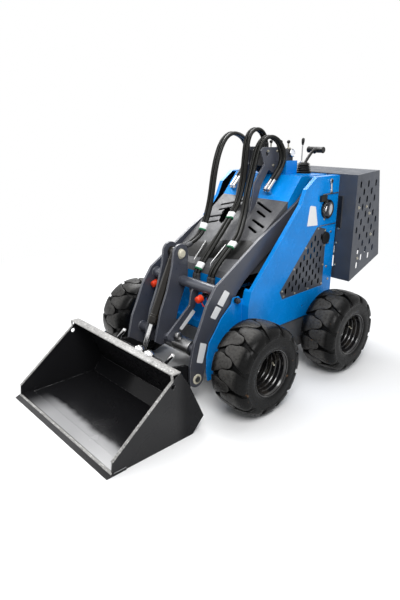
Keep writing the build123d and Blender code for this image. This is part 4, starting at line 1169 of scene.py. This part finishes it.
class LOADER_OT_arms(bpy.types.Operator):
    """Fits the arms' pin caps, blank plates, welds, lower bosses and stop bolts"""

    bl_idname = "loader.arms"
    bl_label = "Arm fittings"

    def execute(self, context):
        plates = [blank_plate("arm_plate", corners, x) for x, corners in (
            (ARM_FACE_X, ((-0.222, 0.508), (-0.184, 0.484), (-0.136, 0.546), (-0.171, 0.570))),
            (ARM_FACE_X, ((-0.268, 0.450), (-0.232, 0.430), (-0.192, 0.478), (-0.229, 0.501))),
            (ARM_FACE_X, ((-0.357, 0.240), (-0.317, 0.222), (-0.290, 0.318), (-0.331, 0.337))),
            (STRUT_FACE_X, ((-0.311, 0.350), (-0.294, 0.336), (-0.200, 0.414), (-0.219, 0.432))),
        )]
        fit("blank_plates_arm", plates, "arms", "white")
        caps = [sideways("pin_cap", [
            (0.0, 0.0), (size, 0.0), (size, 0.0035), (size - 0.002, 0.0050),
            (size * 0.62, 0.0050), (size * 0.60, 0.0030), (0.0, 0.0030),
        ], 36, (ARM_FACE_X, *pivot))
            for pivot, size in ((LIFT_PIVOT, 0.030), (BUCKET_PIVOT, 0.026))]
        both_sides("pin_caps", caps, "arms", "cream")
        beads = [weld_ring((x, *tube_end), way, 0.027, 0.0035)
                 for tube_end in (UPPER_TUBE, LOWER_TUBE) for x, way in ((0.246, -1), (-0.246, 1))]
        fit("arm_welds", beads, "arms", "arm_grey")
        drum = sideways("tube_drum", [
            (0.0255, 0.0), (0.0380, 0.0), (0.0400, 0.0020), (0.0400, 0.1180), (0.0380, 0.1200),
            (0.0255, 0.1200),
        ], 48, (0.052, *LOWER_TUBE))
        boss = sideways("strut_boss", [
            (0.0, 0.0), (0.0180, 0.0), (0.0215, 0.004), (0.0220, 0.012), (0.0190, 0.021),
            (0.0120, 0.026), (0.0, 0.027),
        ], 36, (STRUT_FACE_X, -0.330, 0.318))
        fit("lower_bosses", [drum, boss], "arms", "steel")
        stops = [bolt("rest_bolt", (side * 0.285, -0.102, 0.503), (side, 0, 0), 0.024, 0.010)
                 for side in (1, -1)]
        fit("rest_bolts", stops, "chassis", "cast")
        return {"FINISHED"}


class LOADER_OT_front(bpy.types.Operator):
    """Fits the auxiliary couplers' dust caps, straps and sleeves"""

    bl_idname = "loader.front"
    bl_label = "Front fittings"

    def execute(self, context):
        caps, straps, chrome = [], [], []
        for x in (0.140, -0.222):
            tip, root = Vector((x, -0.248, 0.500)), Vector((x, -0.214, 0.508))
            way = (tip - root).normalized()
            caps.append(turned("coupler_cap", [
                (0.0, 0.0), (0.0175, 0.0), (0.0190, 0.003), (0.0190, 0.008), (0.0178, 0.009),
                (0.0178, 0.026), (0.0160, 0.032), (0.0100, 0.0345), (0.0, 0.035),
            ], 36, root, tip))
            straps.append(tube("cap_strap", [root + Vector(offset) for offset in (
                (0.0, 0.0, -0.016), (0.004, 0.002, -0.040), (0.008, 0.020, -0.052),
                (0.006, 0.040, -0.030), (0.0, 0.040, -0.012),
            )], 0.0032))
            chrome.append(turned("coupler_sleeve", [
                (0.0, 0.0), (0.0165, 0.0), (0.0165, 0.006), (0.0150, 0.008), (0.0150, 0.016),
                (0.0168, 0.018), (0.0168, 0.030), (0.0, 0.030),
            ], 36, root - way * 0.032, root))
        fit("dust_caps", caps, "arms", "red", ["coupler_caps"])
        fit("cap_straps", straps, "arms", "red")
        fit("coupler_sleeves", chrome, "arms", "chrome")
        return {"FINISHED"}


# Controls


class LOADER_OT_controls(bpy.types.Operator):
    """Builds the bellows boot, the T grip, the lever, the valve knobs and the gauge"""

    bl_idname = "loader.controls"
    bl_label = "Controls"

    def execute(self, context):
        x, y, base, top = 0.108, 0.610, 1.071, 1.129
        profile = [(0.0, 0.0), (0.0465, 0.0), (0.0465, 0.0030)]
        for fold in range(5):
            low = 0.004 + fold * 0.0102
            reach = 0.0462 - 0.0022 * fold
            profile += [
                (reach - 0.0120, low), (reach - 0.0012, low + 0.0032), (reach, low + 0.0050),
                (reach - 0.0012, low + 0.0068), (reach - 0.0120, low + 0.0100),
            ]
        profile += [(0.0300, 0.0555), (0.0270, top - base), (0.0, top - base)]
        boot = turned("bellows_boot", profile, 48, (x, y, base), (x, y, top))
        done(boot, "chassis", "boot", ["joystick_boot"], 50.0)

        x, grip = 0.104, (0.104, 0.726, 1.196)
        stem = tube("grip_stem", (
            (x, 0.624, 1.122), (x, 0.640, 1.140), (x, 0.668, 1.168), (x, 0.696, 1.190), grip,
        ), 0.0088)
        bar = sideways("grip_bar", [
            (0.0, -0.055), (0.0150, -0.055), (0.0178, -0.0525), (0.0178, -0.046), (0.0164, -0.043),
            (0.0170, 0.0), (0.0164, 0.043), (0.0178, 0.046), (0.0178, 0.0525), (0.0150, 0.055),
            (0.0, 0.055),
        ], 32, grip)
        hub = rod("grip_hub", Vector(grip) - Vector((0, 0.020, 0.010)), grip, 0.0145, 0.002)
        fit("t_grip", [stem, bar, hub], "chassis", "plastic", ["t_handle"], 40.0)

        x, y = 0.102, 0.598
        shaft = rod("lever_shaft", (x, y, 1.110), (x, y, 1.225), 0.0036, 0.0008, 16)
        collar = rod("lever_collar", (x, y, 1.127), (x, y, 1.137), 0.0085, 0.001)
        fit("lever_stem", [shaft, collar], "chassis", "chrome")
        knob = turned("lever_knob", [
            (0.0, 0.0), (0.0052, 0.0), (0.0068, 0.006), (0.0090, 0.020), (0.0088, 0.030),
            (0.0064, 0.0365), (0.0, 0.0385),
        ], 28, (x, y, 1.225), (x, 0.600, 1.262))
        done(knob, "chassis", "plastic", ["lever"], 60.0)

        knobs, stems = [], []
        for x, y in ((-0.044, 0.496), (-0.008, 0.508), (0.030, 0.492), (0.054, 0.530)):
            stems.append(rod("knob_stem", (x, y, 1.202), (x, y, 1.236), 0.0045, 0.001, 16))
            stems.append(rod("knob_nut", (x, y, 1.203), (x, y, 1.212), 0.0100, 0.0015, 6))
            knobs.append(ball("knob", (x, y, 1.242), 0.0100))
        fit("valve_balls", knobs, "chassis", "plastic", ["valve_knobs"], 60.0)
        fit("valve_stems", stems, "chassis", "zinc")

        gauge = Vector((0.072, 0.532, 1.180))
        for name, finish, steps, profile in (
            ("gauge_case", "chrome", 36, [
                (0.0, 0.0), (0.0200, 0.0), (0.0210, 0.004), (0.0215, 0.014), (0.0195, 0.016),
                (0.0180, 0.0135), (0.0, 0.0135),
            ]),
            ("gauge_dial", "white", 32, [
                (0.0, 0.0137), (0.0176, 0.0137), (0.0172, 0.0145), (0.0, 0.0150),
            ]),
        ):
            piece = turned(name, profile, steps, gauge, gauge + Vector((1, 0, 0.2)))
            done(piece, "chassis", finish)
        return {"FINISHED"}


class LOADER_OT_valves(bpy.types.Operator):
    """Builds up the valve bank: plugs, spool caps, sections and mast bolts"""

    bl_idname = "loader.valves"
    bl_label = "Valve bank"

    def execute(self, context):
        up, plugs = (0, 0, 1), []
        for k in range(4):
            x = -0.054 + 0.036 * k
            plugs.append(bolt("spool_cap", (x, 0.554, 1.172), (0, 1, 0), 0.022, 0.008))
            plugs.append(bolt("top_plug", (x, 0.540, 1.204), up, 0.016, 0.006))
        for x in (-0.036, 0.020):
            plugs.append(bolt("port_plug", (x, 0.352, 1.200), up, 0.020, 0.008))
        for y, z in ((0.350, 1.195), (0.430, 1.195), (0.400, 1.120)):
            plugs.append(bolt("mast_bolt", (0.058, y, z), LEFTWARD, 0.013, 0.006))
        fit("valve_plugs", plugs, "chassis", "zinc")
        section = box("valve_section", (-0.070, 0.480, 1.146), (0.070, 0.487, 1.205), 0.001)
        sections = stacked(section, (0, 0.0155, 0), 4)
        fit("valve_sections", sections, "chassis", "cast")
        return {"FINISHED"}


class LOADER_OT_side_trim(bpy.types.Operator):
    """Fixes the side lamp, its mount and frame bars, the fuel cap, latch, plate and bolts"""

    bl_idname = "loader.side_trim"
    bl_label = "Side trim"

    def execute(self, context):
        y, z = LAMP_CENTRE
        bezel = sideways("lamp_bezel", [
            (0.0, 0.0), (0.0530, 0.0), (0.0530, 0.009), (0.0510, 0.0135), (0.0465, 0.0140),
            (0.0440, 0.0115), (0.0300, 0.0045), (0.0, 0.0035),
        ], 56, (POD_FACE_X, y, z))
        done(bezel, "chassis", "lens", ["side_lamp"], 50.0)
        dish = sideways("lamp_dish", [
            (0.0, 0.0042), (0.0120, 0.0046), (0.0280, 0.0070), (0.0400, 0.0112), (0.0395, 0.0122),
            (0.0270, 0.0082), (0.0125, 0.0058), (0.0, 0.0056),
        ], 48, (POD_FACE_X, y, z))
        bulb = rod("lamp_bulb", (0.3225, y - 0.020, z - 0.012), (0.3225, y - 0.006, z + 0.016),
                   0.0050, 0.002, 16)
        fit("lamp_dish", [dish, bulb], "chassis", "chrome")
        bars = [
            rod("frame_bar", (0.322, 0.512, 0.976), (0.322, 0.656, 0.976), 0.0032, 0.0008, 12),
            rod("frame_bar", (0.322, 0.500, 0.806), (0.322, 0.656, 0.806), 0.0022, 0.0006, 12),
        ]
        fit("lamp_frame", bars, "chassis", "zinc")
        mount = box("lamp_mount", (POD_FACE_X, 0.490, 0.938), (0.331, 0.538, 0.972), 0.003, 3)
        cap = sideways("fuel_cap", [
            (0.0, 0.0), (0.034, 0.0), (0.034, 0.004), (0.030, 0.007), (0.012, 0.006), (0.0, 0.006),
        ], 40, (POD_FACE_X, 0.574, 0.730))
        fit("lamp_mount", [mount, cap], "chassis", "plastic")
        latch = [
            rod("latch_bar", (0.322, 0.577, 1.049), (0.322, 0.587, 0.985), 0.0060, 0.002),
            rod("latch_boss", (POD_FACE_X, 0.577, 1.043), (0.329, 0.577, 1.043), 0.0130, 0.002),
            rod("latch_foot", (POD_FACE_X, 0.586, 0.992), (0.326, 0.586, 0.992), 0.0100, 0.002),
        ]
        fit("panel_latch", latch, "chassis", "chrome")
        corners = ((0.404, 0.926), (0.456, 0.918), (0.486, 0.812), (0.388, 0.818))
        blank = blank_plate("blank_plate_side", corners, POD_FACE_X)
        done(blank, "chassis", "white")
        heads = [bolt("panel_bolt", (POD_FACE_X, y, z), LEFTWARD) for y, z in (
            (0.600, 0.700), (0.604, 0.560), (0.545, 0.840), (0.620, 0.760), (0.630, 0.480),
        )]
        both_sides("panel_bolts", heads, "chassis", "zinc")
        return {"FINISHED"}


# Bucket and engine


class LOADER_OT_bucket(bpy.types.Operator):
    """Adds the bucket's worn rim strips, weld beads and the coupler's locks"""

    bl_idname = "loader.bucket"
    bl_label = "Bucket fittings"

    def execute(self, context):
        rims = [plate("rim_strip", [
            (-0.646, 0.3325), (-0.646, 0.3385), (-0.598, 0.3385), (-0.598, 0.3325),
        ], "x", -0.4265, 0.4265, 0.0015)]
        for side in (1, -1):
            rims.append(plate("side_strip", [
                (-0.6400, 0.3300), (-0.6400, 0.3040), (-0.9560, 0.0610), (-0.9600, 0.0640),
                (-0.6440, 0.3085), (-0.6460, 0.3320),
            ], "x", side * 0.4145, side * 0.4275, 0.0012))
        rims.append(plate("wear_line", [
            (-0.9690, 0.0080), (-0.9670, 0.0115), (-0.9600, 0.0135), (-0.9560, 0.0115),
        ], "x", -0.4250, 0.4250, 0.0008, 1))
        fit("bucket_rim", rims, "bucket", "worn_steel")
        seam = ((-0.600, 0.330), (-0.545, 0.247), (-0.463, 0.070), (-0.531, 0.006),
                (-0.893, 0.006))
        beads = [rod("weld", (x, *start), (x, *end), 0.0035, 0.001, 8)
                 for x in (0.4165, -0.4165) for start, end in zip(seam, seam[1:])]
        fit("bucket_welds", beads, "bucket", "bucket")
        locks = [turned("lock_bush", [
            (0.0, 0.0), (0.0250, 0.0), (0.0256, 0.004), (0.0256, 0.016), (0.0200, 0.022),
            (0.0180, 0.028), (0.0110, 0.032), (0.0, 0.033),
        ], 32, (x, -0.596, 0.3245), (x + 0.012, -0.576, 0.3565)) for x in (0.118, 0.192)]
        for low, high in (
            ((-0.118, -0.566, 0.290), (-0.045, -0.556, 0.376)),
            ((0.262, -0.566, 0.290), (0.328, -0.556, 0.368)),
        ):
            locks.append(rod("lock_handle", low, high, 0.0090, 0.003, 16))
        fit("coupler_locks", locks, "bucket", "bright")
        return {"FINISHED"}


class LOADER_OT_engine(bpy.types.Operator):
    """Details the engine behind the guard: cylinder fins and recoil cover"""

    bl_idname = "loader.engine"
    bl_label = "Engine"

    def execute(self, context):
        fin = box("fin", (-0.196, 0.700, 0.800), (0.196, 0.868, 0.803), 0.0008, 1)
        fit("engine_fins", stacked(fin, (0, 0, 0.012), 9), "chassis", "alloy")
        cover = sideways("recoil_cover", [
            (0.0, 0.0), (0.098, 0.0), (0.100, 0.006), (0.094, 0.020), (0.070, 0.026),
            (0.068, 0.022), (0.060, 0.022), (0.058, 0.028), (0.030, 0.030), (0.0, 0.031),
        ], 56, (0.190, 0.784, 0.700))
        done(cover, "chassis", "plastic")
        return {"FINISHED"}


# Floor, light and camera

LIGHTS = (
    ("key_light", (2.2, -1.6, 3.2), 2.0, 105.0),
    ("top_light", (-0.4, 0.4, 3.6), 3.0, 65.0),
    ("edge_light", (-2.2, 0.9, 3.0), 1.8, 80.0),
    ("fill_light", (-2.6, -2.0, 2.0), 2.0, 18.0),
)
LIGHTS_AIM = (0, 0, 0.5)
CAMERA_PLACE = (1.857, -1.813, 1.312)
CAMERA_TURNS = ((47.22, "Z"), (70.84, "X"), (0.19, "Z"))
CAMERA_LENS = 29.65


class LOADER_OT_stage(bpy.types.Operator):
    """Lays the white floor and sets the soft light and the camera"""

    bl_idname = "loader.stage"
    bl_label = "Stage"

    def execute(self, context):
        scene = context.scene
        white = (1.0, 1.0, 1.0, 1.0)
        hold()
        bpy.ops.mesh.primitive_circle_add(vertices=64, radius=14.0, fill_type="NGON")
        floor = added("studio_floor")
        recipe = Recipe("studio_floor")
        recipe.set(Base_Color=(0.86, 0.86, 0.86), Roughness=0.7, Specular_IOR_Level=0.2)
        reach = recipe.node("ShaderNodeVectorMath", {0: recipe.place}, operation="LENGTH")
        far = recipe.between(reach.outputs["Value"], 1.6, 3.2)
        seen = recipe.seen_by("Camera", "Glossy")
        glow = recipe.node("ShaderNodeEmission", {"Color": white, "Strength": 1.0})
        surface = recipe.layered(recipe.product(far, seen), recipe.shader, glow)
        recipe.link(surface, recipe.tree.nodes["Material Output"].inputs["Surface"])
        floor.data.materials.append(recipe.material)

        world = scene.world or bpy.data.worlds.new("studio_world")
        scene.world = world
        world.use_nodes = True
        world.node_tree.nodes.clear()
        sky = Tree(world.node_tree)
        seen = sky.seen_by("Camera", "Glossy", "Transmission")
        room = sky.node("ShaderNodeBackground", {"Color": (0.95, 0.97, 1.0, 1.0), "Strength": 0.50})
        backdrop = sky.node("ShaderNodeBackground", {"Color": white, "Strength": 1.0})
        sky.node("ShaderNodeOutputWorld", {"Surface": sky.layered(seen, room, backdrop)})

        for name, place, size, power in LIGHTS:
            lamp = bpy.data.lights.new(name, "AREA")
            lamp.shape = "DISK"
            lamp.size = size
            lamp.energy = power
            light = bpy.data.objects.new(name, lamp)
            light.location = place
            aimed = Vector(LIGHTS_AIM) - Vector(place)
            light.rotation_euler = aimed.to_track_quat("-Z", "Y").to_euler()
            scene.collection.objects.link(light)

        view = bpy.data.cameras.new("front_left_view")
        view.lens = CAMERA_LENS
        view.sensor_width = 36.0
        camera = bpy.data.objects.new("front_left_view", view)
        camera.location = CAMERA_PLACE
        turn = Matrix.Identity(3)
        for angle, axis in CAMERA_TURNS:
            turn = turn @ Matrix.Rotation(math.radians(angle), 3, axis)
        camera.rotation_euler = turn.to_euler()
        scene.collection.objects.link(camera)
        scene.camera = camera
        scene.view_settings.view_transform = "Standard"
        return {"FINISHED"}


OPERATORS = (
    LOADER_OT_finishes, LOADER_OT_tyres, LOADER_OT_rims, LOADER_OT_grilles, LOADER_OT_guard,
    LOADER_OT_hood_fittings, LOADER_OT_hoses, LOADER_OT_tilt_cylinder, LOADER_OT_arms,
    LOADER_OT_front, LOADER_OT_controls, LOADER_OT_valves, LOADER_OT_side_trim,
    LOADER_OT_bucket, LOADER_OT_engine, LOADER_OT_stage,
)


class LOADER_PT_build(bpy.types.Panel):
    """Sizes, colours and building steps of the loader"""

    bl_idname = "LOADER_PT_build"
    bl_label = "Mini skid steer loader"
    bl_space_type = "VIEW_3D"
    bl_region_type = "UI"
    bl_category = "Loader"

    def draw(self, context):
        column = self.layout.column()
        for group in (context.scene.loader_colours, context.scene.loader_sizes):
            for name in group.__annotations__:
                column.prop(group, name)
        for operator in OPERATORS:
            column.operator(operator.bl_idname)


CLASSES = (LoaderColours, LoaderSizes, *OPERATORS, LOADER_PT_build)


def register():
    for each in CLASSES:
        bpy.utils.register_class(each)
    bpy.types.Scene.loader_colours = bpy.props.PointerProperty(type=LoaderColours)
    bpy.types.Scene.loader_sizes = bpy.props.PointerProperty(type=LoaderSizes)


def unregister():
    del bpy.types.Scene.loader_sizes
    del bpy.types.Scene.loader_colours
    for each in reversed(CLASSES):
        bpy.utils.unregister_class(each)


def main():
    """Builds the dressed loader in order."""
    register()
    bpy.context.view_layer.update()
    bpy.ops.loader.finishes()
    bpy.ops.loader.tyres()
    bpy.ops.loader.rims()
    bpy.ops.loader.grilles()
    bpy.ops.loader.guard()
    bpy.ops.loader.hood_fittings()
    bpy.ops.loader.hoses()
    bpy.ops.loader.tilt_cylinder()
    bpy.ops.loader.arms()
    bpy.ops.loader.front()
    bpy.ops.loader.controls()
    bpy.ops.loader.valves()
    bpy.ops.loader.side_trim()
    bpy.ops.loader.bucket()
    bpy.ops.loader.engine()
    bpy.ops.loader.stage()


if __name__ == "__main__":
    main()
